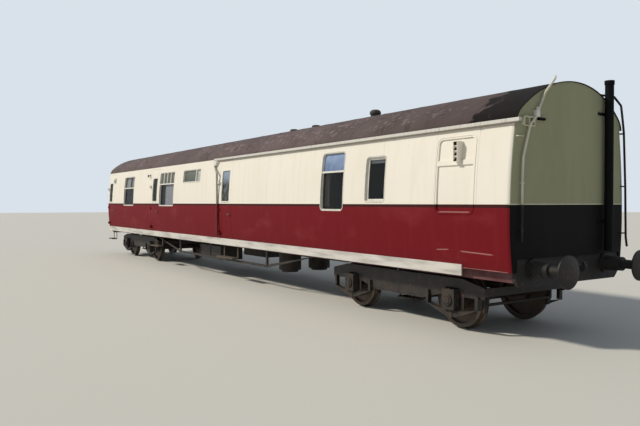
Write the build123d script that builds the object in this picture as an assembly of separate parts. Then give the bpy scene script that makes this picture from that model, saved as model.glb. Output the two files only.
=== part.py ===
from build123d import *
import math
import os

# A full-length bogie passenger coach with a steel body, in millimetres.
# X runs along the coach, Y across it and Z up. The right side is the one at -Y, and the A end is at +X.
# Z is 0 at the tips of the wheel flanges, and real heights are given above the top of the rail.

os.makedirs("parts", exist_ok=True)

# Clearances
fit = 0.3
moving_gap = 6

# Wheels, which set the height of the rail's top
tread_radius = 457
flange_depth = 28
rail = flange_depth
axle_z = rail + tread_radius
flange_radius = tread_radius + flange_depth

# Body shell
corner_to_corner = 19600
end_bow = 60
body_width = 2743
tuck_under = 60
lean_in = 110
side_bottom = rail + 1016
waist = rail + 1780
cantrail = rail + 3112
roof_top = rail + 3744
shoulder_radius = 300
wall = 70
roof_thickness = 40
roof_sheet = 12
roof_lip = 15
end_wall = 75
corner_radius = 70
end_bottom = rail + 1000

# Floor and underframe
floor_top = rail + 1257
floor_thickness = 50
floor_bottom = floor_top - floor_thickness
solebar_bottom = rail + 865
solebar_depth = 216
solebar_top = solebar_bottom + solebar_depth
solebar_inset = 181.5
solebar_y = body_width / 2 - solebar_inset
solebar_flange = 80
solebar_web = 12
headstock_depth = 400
headstock_thickness = 60
headstock_width = body_width - 303
bearer_pitch = 1550
bearer_width = 80

# Bogies
bogie_centre = 7085
wheelbase = 2590
journal_y = 990
pivot_radius = 60

# Doors, which hang on outside hinges
door_width = 700
door_thickness = 45
door_bottom = rail + 1080
door_top = cantrail - 62
hinge_reach = 18
barrel_radius = 14
pin_radius = 7
hinge_heights = (rail + 1200, rail + 1800, rail + 2500)
knuckle_height = 40
eye_gap = 0.5
leaf_strap = 60
post_strap = 38
handle_height = rail + 1690
handle_inset = 75

# Windows
plate_frame = 24
frame_depth = 42
lining = 14
lining_proud = 3
sash_face = 44
sash_back = 62
bar_width = 34
bar_face = 8
glass_depth = 50
door_glass_depth = 28
glass_thickness = 6

half_width = body_width / 2
corner_x = corner_to_corner / 2
RIGHT = -1
LEFT = 1
SIDES = (("right", RIGHT), ("left", LEFT))
ENDS = (1, -1)


def save(name, *shapes):
    """Writes one sub-part, whose like pieces stay separate solids."""
    solids = [solid for shape in shapes for solid in shape.solids()]
    export_step(Compound(solids), f"parts/{name}.step")


def block(x0, x1, y0, y1, z0, z1):
    """A plain block between two corners, given in any order."""
    centre = Pos((x0 + x1) / 2, (y0 + y1) / 2, (z0 + z1) / 2)
    return centre * Box(abs(x1 - x0), abs(y1 - y0), abs(z1 - z0))


def rod(start, end, radius):
    """A round bar from one point to another."""
    start = Vector(*start)
    run = Vector(*end) - start
    bar = Cylinder(radius, run.length, align=(Align.CENTER, Align.CENTER, Align.MIN))
    return Plane(origin=start, z_dir=run) * bar


def pipe(points, bend, radius):
    """A round pipe along straight runs that tangent arcs join."""
    path = FilletPolyline(*points, radius=bend)
    return sweep(Plane(origin=path @ 0, z_dir=path % 0) * Circle(radius), path=path)


# The cross-section: each side is two arcs upright at the waist, then a shoulder arc and a crown arc.
def flank_radius(height, inset):
    """The radius of an arc, upright at one end, that moves in by an inset over a height."""
    return (height**2 + inset**2) / (2 * inset)


lower_radius = flank_radius(waist - side_bottom, tuck_under)
upper_radius = flank_radius(cantrail - waist, lean_in)
lean = math.asin((cantrail - waist) / upper_radius)
shoulder_y = half_width - upper_radius + (upper_radius - shoulder_radius) * math.cos(lean)
shoulder_z = waist + (upper_radius - shoulder_radius) * math.sin(lean)
shoulder_rise = roof_top - shoulder_z
crown_radius = (shoulder_y**2 + shoulder_rise**2 - shoulder_radius**2) / (
    2 * (shoulder_rise - shoulder_radius)
)
crown_z = roof_top - crown_radius
crown_turn = math.atan2(shoulder_z - crown_z, shoulder_y)


def flank_y(z, depth=0):
    """Half the width at a height up to the cantrail, at a depth under the skin."""
    radius = lower_radius if z <= waist else upper_radius
    return half_width - radius + math.sqrt((radius - depth) ** 2 - (z - waist) ** 2)


def turn(centre_y, centre_z, radius, start, end, side):
    """An arc of the cross-section, on one side of the coach."""
    angles = (start, (start + end) / 2, end)
    ends = [(0, side * (centre_y + radius * math.cos(a)), centre_z + radius * math.sin(a)) for a in angles]
    return ThreePointArc(*ends)


def section(depth):
    """The body's whole outline at a depth under the skin, as a face across the coach."""
    edges = []
    foot = -math.asin((waist - side_bottom) / (lower_radius - depth))
    for side in (RIGHT, LEFT):
        edges.append(turn(half_width - lower_radius, waist, lower_radius - depth, foot, 0, side))
        edges.append(turn(half_width - upper_radius, waist, upper_radius - depth, 0, lean, side))
        edges.append(turn(shoulder_y, shoulder_z, shoulder_radius - depth, lean, crown_turn, side))
        edges.append(turn(0, crown_z, crown_radius - depth, crown_turn, math.pi / 2, side))
    width = flank_y(side_bottom, depth)
    edges.append(Line((0, -width, side_bottom), (0, width, side_bottom)))
    return make_face(edges)


def section_solid(depth, x0, x1):
    """The outline at a depth under the skin, drawn out along the coach."""
    return extrude(Pos(x0, 0, 0) * section(depth), amount=x1 - x0, dir=(1, 0, 0))


def flank(outer, inner, low, high, side, x0, x1):
    """A curved panel of one side, between two depths under the skin and two heights."""
    edges = []
    for depth in (outer, inner):
        for bottom, top in ((low, min(high, waist)), (max(low, waist), high)):
            if top > bottom:
                heights = (bottom, (bottom + top) / 2, top)
                edges.append(ThreePointArc(*[(0, side * flank_y(z, depth), z) for z in heights]))
    for z in (low, high):
        edges.append(Line((0, side * flank_y(z, outer), z), (0, side * flank_y(z, inner), z)))
    return extrude(Pos(x0, 0, 0) * make_face(edges), amount=x1 - x0, dir=(1, 0, 0))


def through(sketch, side):
    """A sketch in X and Z, drawn out sideways through one side of the body."""
    return extrude(Plane.XZ * sketch, amount=-side * (half_width + 100))


# The plan: both ends are bowed to an arc through the corners, which are rounded below the roof.
bow_radius = (half_width**2 + end_bow**2) / (2 * end_bow)


def end_x(y, offset=0):
    """Where the bowed end lies at a distance from the middle line, offset outwards."""
    return corner_x + end_bow - bow_radius + math.sqrt((bow_radius + offset) ** 2 - y**2)


def plan(offset, low=side_bottom - 200, high=roof_top + 200):
    """All that lies between the two bowed ends, offset outwards or, below 0, inwards."""
    reach = half_width + 100
    edges = [Line((-end_x(reach, offset), y), (end_x(reach, offset), y)) for y in (-reach, reach)]
    for end in ENDS:
        points = [(end * end_x(y, offset), y) for y in (-reach, 0, reach)]
        edges.append(ThreePointArc(*points))
    return extrude(Pos(0, 0, low) * make_face(edges), amount=high - low)


inside_ends = plan(-end_wall - fit)


def rounded_body():
    """All that lies inside the skin below the cantrail, with its four upright corners rounded."""
    length = corner_x + end_bow
    whole = section_solid(0, -length, length) & plan(0)
    whole &= block(-length, length, -half_width, half_width, side_bottom, cantrail)
    uprights = [
        edge for edge in whole.edges()
        if abs(edge.center().X) > corner_x - corner_radius and abs(edge.center().Y) > half_width / 2
    ]
    return fillet(uprights, corner_radius)


# Doors on each side, from the A end: opening's centre, then the glass's centre, width, sill and head.
door_table = (
    ("1", 872, 873, 438, rail + 2020, rail + 2790),
    ("2", -4415, -4415, 410, rail + 2030, rail + 2760),
    ("3", -9325, -9400, 385, rail + 2020, rail + 2720),
)

# Windows: centre, width, sill, head, corner radius, sash's width, transom's height, steps from the
# centre to the bars over the transom, and the centre of an upright bar.
window_table = (
    (6880, 558, rail + 1985, rail + 2790, 70, 46, None, (), None),
    (5577, 762, rail + 1824, rail + 2945, 95, 14, rail + 2570, (), None),
    (-1410, 1254, rail + 2550, rail + 2920, 40, 18, None, (), -1110),
    (-3362, 1249, rail + 1874, rail + 2920, 60, 16, rail + 2560, (-292, 0, 292), None),
    (-7165, 1147, rail + 1873, rail + 2904, 60, 16, rail + 2500, (), None),
)
least_corner = 8

# The window that is plated over: centre, width, sill, head, corner radius.
plated_window = (8760, 768, rail + 1818, rail + 2962, 92)
plate_depth = 24
plated_transom = rail + 2578
plated_transom_height = 75
vent_centre = 8830
vent_width = 86
vent_low = rail + 2583
vent_high = rail + 2889
vent_proud = 92
vent_wall = 9
vent_blades = 3


def hinge_line(centre, side):
    """Where a door's hinge pins stand, and which way along X its leaf lies from them."""
    direction = -side
    return centre - direction * (door_width / 2 - moving_gap / 2), side * (half_width + hinge_reach), direction


def swing(centre, side, radius, low, high, start):
    """What a door of this radius fills, from a distance past its hinge line to its closing edge."""
    hinge_x, hinge_y, direction = hinge_line(centre, side)
    drum = Pos(hinge_x, hinge_y, (low + high) / 2) * Cylinder(radius, high - low)
    near = hinge_x + direction * start
    return drum & block(near, near + direction * 2 * radius, -2 * half_width, 2 * half_width, low, high)


leaf_radius = door_width - 1.5 * moving_gap


def window_outline(centre, width, sill, head, radius, inset):
    """A window's rounded outline in X and Z, drawn in by an inset."""
    corner = max(radius - inset, least_corner)
    wide, high = width - 2 * inset, head - sill - 2 * inset
    return Pos(centre, (sill + head) / 2) * RectangleRounded(wide, high, corner)


def make_sides():
    """The side panels stand between the doorways, over a sill and under the cantrail."""
    for name, side in SIDES:
        panel = flank(0, wall, side_bottom, door_top + moving_gap - fit, side, -corner_x, corner_x)
        panel &= inside_ends
        for _, centre, *_ in door_table:
            doorway = swing(centre, side, leaf_radius + moving_gap, side_bottom - 1, cantrail, -moving_gap / 2)
            panel -= doorway
        for centre, width, sill, head, radius, *_ in window_table + (plated_window,):
            panel -= through(window_outline(centre, width, sill, head, radius, 0), side)
        save(f"side_{name}", panel)


def make_door_sills():
    """A sill closes the body under each door."""
    sills = []
    for name, side in SIDES:
        for _, centre, *_ in door_table:
            x0, x1 = centre - door_width, centre + door_width
            sill = flank(0, wall, side_bottom, door_bottom - moving_gap, side, x0, x1)
            radius = leaf_radius + moving_gap - fit
            sills.append(sill & swing(centre, side, radius, side_bottom, cantrail, fit - moving_gap / 2))
    save("door_sills", *sills)


def make_cantrails():
    """One rail on each side runs over the doors and carries the roof."""
    rails = [
        flank(0, wall, door_top + moving_gap, cantrail, side, -corner_x, corner_x) & inside_ends
        for name, side in SIDES
    ]
    save("cantrails", *rails)


def make_roof():
    """A shell that rests on the cantrails, and whose outer sheet runs over both end walls to a thin lip."""
    length = corner_x + end_bow + roof_lip
    shell = section_solid(0, -length, length) - section_solid(roof_thickness, -length - 1, length + 1)
    above = block(-length, length, -half_width, half_width, cantrail + fit, roof_top + 1)
    over_ends = section_solid(roof_sheet, -length - 1, length + 1) - plan(-end_wall - fit)
    save("roof", (shell - over_ends) & above & plan(roof_lip))


def make_end_walls():
    """Each end is one bowed wall, which closes the sides below and stands under the roof above."""
    walls = []
    body = rounded_body()
    for end in ENDS:
        x0, x1 = end * (corner_x - 2 * end_wall), end * (corner_x + end_bow + 1)
        below = body & block(x0, x1, -half_width, half_width, side_bottom, cantrail)
        above = section_solid(roof_sheet + fit, min(x0, x1), max(x0, x1))
        above &= block(x0, x1, -half_width, half_width, cantrail - 1, roof_top)
        beam = headstock_width / 2 + 2
        below -= block(x0, x1 + end, -beam, beam, end_bottom - 1, floor_bottom)
        walls.append((below + above) & (plan(0) - plan(-end_wall)))
    save("end_walls", *walls)


def make_floor():
    """A floor between the walls, on bearers that lie across the solebars."""
    slab = section_solid(wall + fit, -corner_x, corner_x) & inside_ends
    floor = slab & block(-corner_x, corner_x, -half_width, half_width, floor_bottom, floor_top)
    save("floor", floor)
    count = int(2 * (corner_x - 300) // bearer_pitch) + 1
    reach = flank_y(solebar_top, wall) - fit
    bearers = []
    for i in range(count):
        x = (i - (count - 1) / 2) * bearer_pitch
        x0, x1 = x - bearer_width / 2, x + bearer_width / 2
        bearers.append(block(x0, x1, -reach, reach, solebar_top + fit, floor_bottom - fit))
    return bearers


def make_underframe(bearers):
    """Two channel solebars between two headstocks, with crossbars and the bolsters that the bogies carry."""
    headstock_x = corner_x - 10
    inner = headstock_x - headstock_thickness - fit
    solebars = []
    for name, side in SIDES:
        outside = side * solebar_y
        lip = side * (solebar_y - solebar_flange)
        web = side * (solebar_y - solebar_web)
        bar = block(-inner, inner, outside, lip, solebar_bottom, solebar_top)
        low, high = solebar_bottom + solebar_web, solebar_top - solebar_web
        solebars.append(bar - block(-inner - 1, inner + 1, web, lip - side, low, high))
    save("solebars", *solebars)

    headstocks = []
    top = floor_bottom - fit
    for end in ENDS:
        x0, x1 = end * headstock_x, end * (headstock_x - headstock_thickness)
        beam = block(x0, x1, -headstock_width / 2, headstock_width / 2, top - headstock_depth, top)
        for side in (RIGHT, LEFT):
            corner = Pos(end * headstock_x, side * headstock_width / 2, top - headstock_depth)
            beam -= corner * Rot(45, 0, 0) * Box(4 * headstock_thickness, 110, 110)
        headstocks.append(beam)
    save("headstocks", *headstocks)

    reach = solebar_y - solebar_web - fit
    flange_gap = solebar_web + fit
    bars = []
    for x in crossbar_places:
        beam = block(x - 50, x + 50, -reach, reach, solebar_bottom + flange_gap, solebar_top - flange_gap)
        bars.append(beam)
    for end in ENDS:
        x = end * bogie_centre
        beam = block(x - 150, x + 150, -reach, reach, solebar_bottom + flange_gap, solebar_top - flange_gap)
        beam += rod((x, 0, pivot_low), (x, 0, solebar_bottom + 20), pivot_radius)
        beam += rod((x, 0, solebar_bottom), (x, 0, solebar_bottom + 20), 2.5 * pivot_radius)
        for side in (RIGHT, LEFT):
            y = side * side_bearer_y
            beam += block(x - 90, x + 90, y - 60, y + 60, solebar_bottom, solebar_bottom + 20)
        bars.append(beam)
    save("cross_members", *bars, *bearers)
    return headstock_x


crossbar_places = (-4300, -2500, -800, 800, 2500, 4300)
side_bearer_y = 700
bolster_top = solebar_bottom - fit
pivot_low = solebar_bottom - 95


def make_windows():
    """In each opening a thin lining with a sash inside it, bars, and one sheet of glass behind the bars."""
    frames, sheets = [], []
    for name, side in SIDES:
        for centre, width, sill, head, radius, sash, transom, top_bars, upright in window_table:
            outer, middle, inner, light = [
                through(window_outline(centre, width, sill, head, radius, inset), side)
                for inset in (fit, lining, lining + sash, lining + sash + 2 * fit)
            ]
            x0, x1 = centre - width, centre + width
            low, high = sill - 20, head + 20
            frame = flank(-lining_proud, sash_back, low, high, side, x0, x1) & (outer - middle)
            frame += flank(sash_face, sash_back, low, high, side, x0, x1) & (outer - inner)
            bar_length = width - 2 * lining + 2
            bars = []
            if transom:
                bars.append(Pos(centre, transom) * Rectangle(bar_length, bar_width))
                for step in top_bars:
                    height = head - lining + 1 - transom
                    bars.append(Pos(centre + step, transom + height / 2) * Rectangle(bar_width, height))
            if upright:
                height = head - sill - 2 * lining + 2
                bars.append(Pos(upright, (sill + head) / 2) * Rectangle(bar_width, height))
            slab = flank(bar_face, glass_depth - fit, sill, head, side, x0, x1)
            for bar in bars:
                frame += slab & through(bar, side)
            frames.append(frame)
            sheets.append(flank(glass_depth, glass_depth + glass_thickness, sill, head, side, x0, x1) & light)
    save("window_frames", *frames)
    save("window_glass", *sheets)


def make_plated_windows():
    """A former window on each side: a sunk plate inside its flush frame, with a louvred vent box on it."""
    centre, width, sill, head, radius = plated_window
    plates = []
    for name, side in SIDES:
        outside = through(window_outline(centre, width, sill, head, radius, fit), side)
        opening = through(window_outline(centre, width, sill, head, radius, plate_frame), side)
        x0, x1 = centre - width, centre + width
        plate = flank(0, frame_depth, sill - 20, head + 20, side, x0, x1) & (outside - opening)
        plate += flank(plate_depth, frame_depth, sill, head, side, x0, x1) & outside
        bar = Pos(centre, plated_transom) * Rectangle(width - 2 * plate_frame + 2, plated_transom_height)
        plate += flank(0, frame_depth, sill, head, side, x0, x1) & through(bar, side)
        plates.append(plate + vent_box(side))
    save("plated_windows", *plates)


def vent_box(side):
    """An open-fronted box that stands out from the plate, with sloping blades across its mouth."""
    skin = side * flank_y((vent_low + vent_high) / 2)
    mouth = skin + side * vent_proud
    x0, x1 = vent_centre - vent_width / 2, vent_centre + vent_width / 2
    box = block(x0, x1, mouth, skin - side * 2 * plate_depth, vent_low, vent_high)
    low, high = vent_low + vent_wall, vent_high - vent_wall
    box -= block(x0 + vent_wall, x1 - vent_wall, mouth + side, skin, low, high)
    pitch = (vent_high - vent_low) / (vent_blades + 1)
    for i in range(vent_blades):
        blade = Rot(side * 35, 0, 0) * Box(vent_width - vent_wall, pitch / 2, vent_wall)
        box += Pos(vent_centre, mouth - side * pitch / 3, vent_low + (i + 1) * pitch) * blade
    return box


def make_doors():
    """Each leaf follows the body's curve and turns on three pins outside the skin."""
    pins = []
    for name, side in SIDES:
        for number, centre, glass_centre, glass_width, sill, head in door_table:
            hinge_x, hinge_y, direction = hinge_line(centre, side)
            x0, x1 = centre - door_width, centre + door_width
            leaf = flank(0, door_thickness, door_bottom, door_top, side, x0, x1)
            leaf &= swing(centre, side, leaf_radius, door_bottom - 1, door_top + 1, moving_gap / 2)
            middle = Pos(glass_centre, (sill + head) / 2)
            leaf -= through(middle * RectangleRounded(glass_width, head - sill, 30), side)
            back = door_glass_depth + glass_thickness
            glass = flank(door_glass_depth, back, sill, head, side, x0, x1)
            glass &= through(middle * RectangleRounded(glass_width - 2 * fit, head - sill - 2 * fit, 30), side)
            leaf += handle(hinge_x + direction * (leaf_radius - handle_inset), side)
            half_eye = knuckle_height / 2
            reach = half_eye + 25
            for z in hinge_heights:
                leaf += knuckle(hinge_x, hinge_y, z, direction, side, -half_eye, half_eye)
                pin = rod((hinge_x, hinge_y, z - reach), (hinge_x, hinge_y, z + reach), pin_radius)
                for low, high in ((-reach, -half_eye - eye_gap), (half_eye + eye_gap, reach)):
                    pin += knuckle(hinge_x, hinge_y, z, -direction, side, low, high, bored=False)
                pins.append(pin)
            save(f"door_{name}_{number}", leaf)
            save(f"door_glass_{name}_{number}", glass)
    save("door_hinges", *pins)


def knuckle(x, y, z, direction, side, low, high, bored=True):
    """One eye of a hinge, with the strap that joins it to the panel on one side of the gap."""
    eye = rod((x, y, z + low), (x, y, z + high), barrel_radius)
    strap = leaf_strap if bored else post_strap
    widths = [flank_y(z + height) for height in (low, 0, high)]
    seat = side * (min(widths) - 4 if bored else max(widths) + fit)
    eye += block(x, x + direction * strap, y - 6, y + 6, z + low, z + high)
    eye += block(x + direction * barrel_radius, x + direction * strap, y, seat, z + low, z + high)
    if bored:
        eye -= rod((x, y, z + low - 1), (x, y, z + high + 1), pin_radius + eye_gap)
    return eye


def handle(x, side):
    """A door's outside handle: a round rose with a short shaft and a bar across it."""
    skin = side * flank_y(handle_height)
    shaft = rod((x, skin - side * 4, handle_height), (x, skin + side * 48, handle_height), 10)
    rose = rod((x, skin - side * 4, handle_height), (x, skin + side * 8, handle_height), 32)
    grip = rod((x - 55, skin + side * 46, handle_height), (x + 55, skin + side * 46, handle_height), 11)
    return shaft + rose + grip


# The gutter along part of the right side, over the door, and its outlet
gutter_low = cantrail - 50
gutter_top = cantrail + 18
gutter_reach = 55
gutter_wall = 4
outlet_x = 190
downpipe_x = 462
downpipe_radius = 15.5


def make_rainwater():
    """A gutter along the right cantrail, past the A end's corner, with a hopper and a pipe beside the door."""
    back = flank_y(gutter_low) + fit
    start, stop = outlet_x - 60, corner_x + 110
    trough = block(start, stop, RIGHT * back, RIGHT * (back + gutter_reach), gutter_low, gutter_top)
    front = [e for e in trough.edges() if abs(e.center().Y) > back + 1 and abs(e.center().Z - gutter_low) < 1]
    trough = fillet([e for e in front if e.length > gutter_reach], 20)
    y0, y1 = RIGHT * (back + gutter_wall), RIGHT * (back + gutter_reach - gutter_wall)
    trough -= block(start + gutter_wall, stop - gutter_wall, y0, y1, gutter_low + 16, gutter_top + 1)
    pipe_y = RIGHT * (half_width + downpipe_radius + 0.5)
    hopper_low = cantrail - 150
    top_y = RIGHT * (flank_y(hopper_low - 60) + downpipe_radius + 1.5)
    funnel = Plane(origin=(outlet_x, top_y, hopper_low)) * Circle(downpipe_radius + 2)
    mouth = Plane(origin=(outlet_x, top_y, gutter_low - fit)) * Circle(downpipe_radius + 12)
    hopper = loft([funnel.face(), mouth.face()])
    route = (
        (outlet_x, top_y, hopper_low + 20),
        (outlet_x, top_y, hopper_low - 60),
        (downpipe_x, pipe_y, hopper_low - 230),
        (downpipe_x, pipe_y, door_bottom + 40),
    )
    hopper += pipe(route, 45, downpipe_radius)
    for z in (rail + 2450, rail + 1250):
        skin = RIGHT * flank_y(z)
        hopper += block(downpipe_x - 12, downpipe_x + 12, pipe_y, skin - 2, z - 15, z + 15)
    save("rainwater_goods", trough, hopper)


def make_skirt_board():
    """A plain board planted over the right side's bottom edge."""
    top = rail + 1070
    y = RIGHT * (flank_y(top) + fit)
    save("skirt_board", block(-corner_x + 30, corner_x - 900, y, y + RIGHT * 22, rail + 905, top))


# Roof vents: place, radius, height over the roof's top and the cap's depth.
vent_table = ((5223, 118, 160, 90), (3000, 100, 70, 45), (2000, 100, 70, 45))
vent_neck = 0.85
vent_root = 60


def make_roof_vents():
    """Mushroom vents on the roof's ridge: a neck under a domed cap."""
    vents = []
    for x, radius, over, rim in vent_table:
        top = roof_top + over
        neck = rod((x, 0, roof_top - vent_root), (x, 0, top - rim + 1), radius * vent_neck)
        cap = rod((x, 0, top - rim), (x, 0, top), radius)
        cap = fillet(cap.edges().filter_by(GeomType.CIRCLE).group_by(Axis.Z)[-1], rim * 0.8)
        cutter = section_solid(-fit, x - radius - 10, x + radius + 10)
        vents.append(neck + cap - cutter)
    save("roof_vents", *vents)


# Two pipes on the A end. For each: its side, its distance from the end, its route as steps back from
# there, out from the middle and up, and the places of its clips.
end_pipe_radius = 17
end_pipe_table = (
    (
        RIGHT, 38,
        ((0, 1184, rail + 1450), (0, 1174, rail + 2330), (0, 1160, rail + 2600), (0, 1062, rail + 2935),
         (0, 1030, rail + 3050), (0, 890, rail + 3190), (0, 850, rail + 3290), (0, 730, rail + 3515),
         (0, 520, rail + 3735), (90, 400, rail + 3790)),
        ((1182, rail + 1600), (1174, rail + 2250), (1030, rail + 3050)),
    ),
    (
        LEFT, 60,
        ((0, 1372, rail + 1290), (0, 1332, rail + 1440), (0, 1305, rail + 2236), (0, 1245, rail + 3081),
         (0, 1193, rail + 3319), (0, 1150, rail + 3490), (60, 1040, rail + 3630), (330, 850, rail + 3690)),
        ((1331, rail + 1500), (1304, rail + 2236), (1247, rail + 3060)),
    ),
)
clip_reach = 45


def make_end_pipes():
    """Two filler pipes up the A end and over the edge of the roof, each on three clips."""
    pipes = []
    for side, standoff, route, clips in end_pipe_table:
        run = pipe([(end_x(y) + standoff - back, side * y, z) for back, y, z in route], 50, end_pipe_radius)
        for y, z in clips:
            wall_x = end_x(y - clip_reach) + fit
            run += block(wall_x, end_x(y) + standoff, side * (y - clip_reach), side * (y + 8), z - 10, z + 10)
        pipes.append(run)
    save("end_pipes", *pipes)


stack_radius = 64
stack_y = 755
stack_low = rail + 1250
stack_top = rail + 3830


def make_vent_stack():
    """A wide vent pipe that stands against the A end on two brackets, with a collar at its top."""
    radius = stack_radius
    y = LEFT * stack_y
    x = end_x(y, roof_lip) + radius + 5
    stack = rod((x, y, stack_low), (x, y, stack_top), radius)
    stack += rod((x, y, stack_top - 60), (x, y, stack_top), radius + 8)
    stack -= rod((x, y, stack_top - 240), (x, y, stack_top + 1), radius - 5)
    for z in (rail + 3325, rail + 1700):
        reach = stack_y - 180
        stack += block(end_x(reach) + fit, x, y - 20, y + 20, z - 20, z + 20)
        stack += block(end_x(reach) + fit, end_x(reach) + 16, reach, y, z - 20, z + 20)
    save("vent_stack", stack)


# Buffers: length from the headstock and radius at each step, then the head.
buffer_y = 870
buffer_z = rail + 1054
buffer_steps = ((0, 28, 148), (20, 210, 115), (210, 300, 105), (300, 560, 68))
buffer_head_radius = 228
buffer_dome = 24
buffer_flat = 3
buffer_length = 600


def make_buffers(headstock_x):
    """Four buffers: a stepped housing with its plunger, and a dished head."""
    housings, heads = [], []
    for end in ENDS:
        for side in (RIGHT, LEFT):
            y = side * buffer_y
            start = headstock_x + fit
            housing = None
            for near, far, radius in buffer_steps:
                step = rod((end * (start + near), y, buffer_z), (end * (start + far), y, buffer_z), radius)
                housing = step if housing is None else housing + step
            housings.append(housing)
            back = start + 560 + fit
            front = start + buffer_length
            dome_radius = (buffer_head_radius**2 + buffer_dome**2) / (2 * buffer_dome)
            head = rod((end * back, y, buffer_z), (end * front, y, buffer_z), buffer_head_radius)
            head &= Pos(end * (front + buffer_flat - dome_radius), y, buffer_z) * Sphere(dome_radius)
            heads.append(head)
    save("buffer_housings", *housings)
    save("buffer_heads", *heads)


# A drawhook seen from the side, from its shank's root.
hook_outline = (
    (0, -30), (150, -30), (190, -75), (245, -60), (265, 0), (240, 70), (200, 75), (205, 15), (170, 10),
    (140, 35), (0, 35),
)


def make_draw_hooks(headstock_x):
    """A drawhook on its plate in the middle of each headstock."""
    hooks = []
    for end in ENDS:
        outline = make_face(Polyline(*hook_outline, close=True))
        outline = fillet(outline.vertices().filter_by(lambda v: v.X > 100), 12)
        hook = extrude(Plane.XZ * outline, amount=24, both=True)
        hook += block(0, 22, -110, 110, -110, 110)
        placed = Pos(headstock_x + fit, 0, buffer_z) * hook
        hooks.append(placed if end > 0 else mirror(placed, Plane.YZ))
    save("draw_hooks", *hooks)


def make_trusses():
    """An angle truss under each solebar, down to two queen posts."""
    trusses = []
    top = solebar_bottom - fit
    for name, side in SIDES:
        lower = [(-4700, top), (-2700, truss_low), (2700, truss_low), (4700, top)]
        upper = [(4590, top), (2660, truss_low + 60), (-2660, truss_low + 60), (-4590, top)]
        bar = extrude(Plane.XZ * make_face(Polyline(*lower, *upper, close=True)), amount=6, both=True)
        for x in (-2680, 2680):
            bar += block(x - 35, x + 35, -20, 20, truss_low + 30, top)
        trusses.append(Pos(0, side * (solebar_y - 40), 0) * bar)
    save("trusses", *trusses)


truss_low = rail + 480


def make_hung_equipment():
    """Battery boxes and vacuum cylinders, hung under the crossbars, and a step under each door."""
    top = solebar_bottom + solebar_web
    boxes = []
    for name, side in SIDES:
        y0, y1 = side * 380, side * (solebar_y - 170)
        box = block(-1500, -100, y0, y1, rail + 430, rail + 800)
        box += block(-845, -755, y0, y1, rail + 790, top)
        for x in (-1480, -800, -120):
            box += block(x - 15, x + 15, y1, y1 + side * 12, rail + 440, rail + 790)
        boxes.append(box)
    save("battery_boxes", *boxes)
    cylinders = []
    for y in (-420, 420):
        drum = rod((2500, y, rail + 380), (2500, y, rail + 830), 265)
        drum += rod((2500, y, rail + 800), (2500, y, top), 45)
        drum += rod((2500, y, rail + 330), (2500, y, rail + 390), 200)
        cylinders.append(drum)
    save("vacuum_cylinders", *cylinders)
    steps = []
    for name, side in SIDES:
        for x, length in step_table:
            y = side * solebar_y
            back, tip = y + side * 10, y + side * 200
            board = block(x - length / 2, x + length / 2, back, tip, step_height, step_height + 28)
            for offset in (-length / 2 + 60, length / 2 - 60):
                x0, x1 = x + offset - 25, x + offset + 25
                board += block(x0, x1, y + side * fit, back + side * 2, step_height, solebar_bottom + 120)
                board += block(x0, x1, back, tip - side * 10, step_height - 12, step_height + 2)
            steps.append(board)
    save("footboards", *steps)


# Steps under the doors: centre and length.
step_table = ((872, 900), (-4415, 720), (-9400, 480))
step_height = rail + 580

# Partitions along the coach, and the passage through them.
partition_places = (6250, 4370, 1750, 0, -5300, -8600)
passage = 620
passage_height = 1950
partition = 30

# Bench lockers: centre, length and side.
locker_table = (
    (5310, 1700, RIGHT), (5310, 1700, LEFT), (-3300, 1500, RIGHT), (-3300, 1500, LEFT), (-7100, 1900, RIGHT),
    (-7100, 1900, LEFT),
)
locker_height = 430
locker_depth = 520

# Curtains behind the windows: near edge, far edge, bottom and top.
curtain_table = (
    (5165, 5420, rail + 1900, rail + 2900),
    (-3640, -2705, rail + 1895, rail + 2540),
    (-7770, -7250, rail + 2520, rail + 2910),
    (-7080, -6560, rail + 2520, rail + 2910),
)
curtain_thickness = 30


def make_inside():
    """Partitions with a passage down the middle, lockers along the sides and curtains at the windows."""
    panels = []
    for x in partition_places:
        whole = section_solid(wall + fit, x - partition / 2, x + partition / 2)
        whole &= block(x - partition, x + partition, -half_width, half_width, floor_top + fit, roof_top)
        lintel = floor_top + passage_height
        for y0, y1, z0 in (
            (-half_width, -passage / 2, floor_top), (passage / 2, half_width, floor_top),
            (fit - passage / 2, passage / 2 - fit, lintel),
        ):
            panels.append(whole & block(x - partition, x + partition, y0, y1, z0, roof_top))
    save("partitions", *panels)
    lockers = []
    for x, length, side in locker_table:
        y = side * (flank_y(floor_top + fit, wall) - fit)
        z = floor_top + fit
        lockers.append(block(x - length / 2, x + length / 2, y, y - side * locker_depth, z, z + locker_height))
    save("bench_lockers", *lockers)
    hangings = []
    for name, side in SIDES:
        for near, far, low, high in curtain_table:
            hangings.append(flank(wall + fit, wall + curtain_thickness, low, high, side, near, far))
    save("curtains", *hangings)


# Bogie frame, about its own centre
frame_top = rail + 800
half_base = wheelbase / 2
frame_half_length = half_base + 655
shoulder_x = half_base + 205
ankle_x = half_base - 245
belly_x = half_base - 695
plate_inner = journal_y - 25
plate_thickness = 20
guide_half_gap = 130
guide_thickness = 16
guide_low = axle_z - 130
box_low = axle_z - 150
box_high = axle_z + 170
transom_inner = 120
transom_outer = 200
end_rail = 60
bolster_half = 110
bolster_bottom = rail + 600
bearer_seat = rail + 830
plank_low = rail + 300
plank_thickness = 25
plank_half = 185

# Leaf springs under the axleboxes
leaf_count = 8
leaf_thickness = 12
leaf_width = 90
spring_half = 530
spring_camber = 70
buckle_height = 130
shoe_half = 30
main_leaf_top = box_low - 20
spring_radius = (spring_half**2 + spring_camber**2) / (2 * spring_camber)

# Brake blocks, clear of the tread
block_gap = 8
block_thickness = 45
block_y = 760
block_width = 80

# Axle and wheel
bore_gap = 0.15
seat_radius = 82
journal_radius = 60
back_to_back = 1360
tyre_width = 135
tyre_depth = 62


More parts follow.
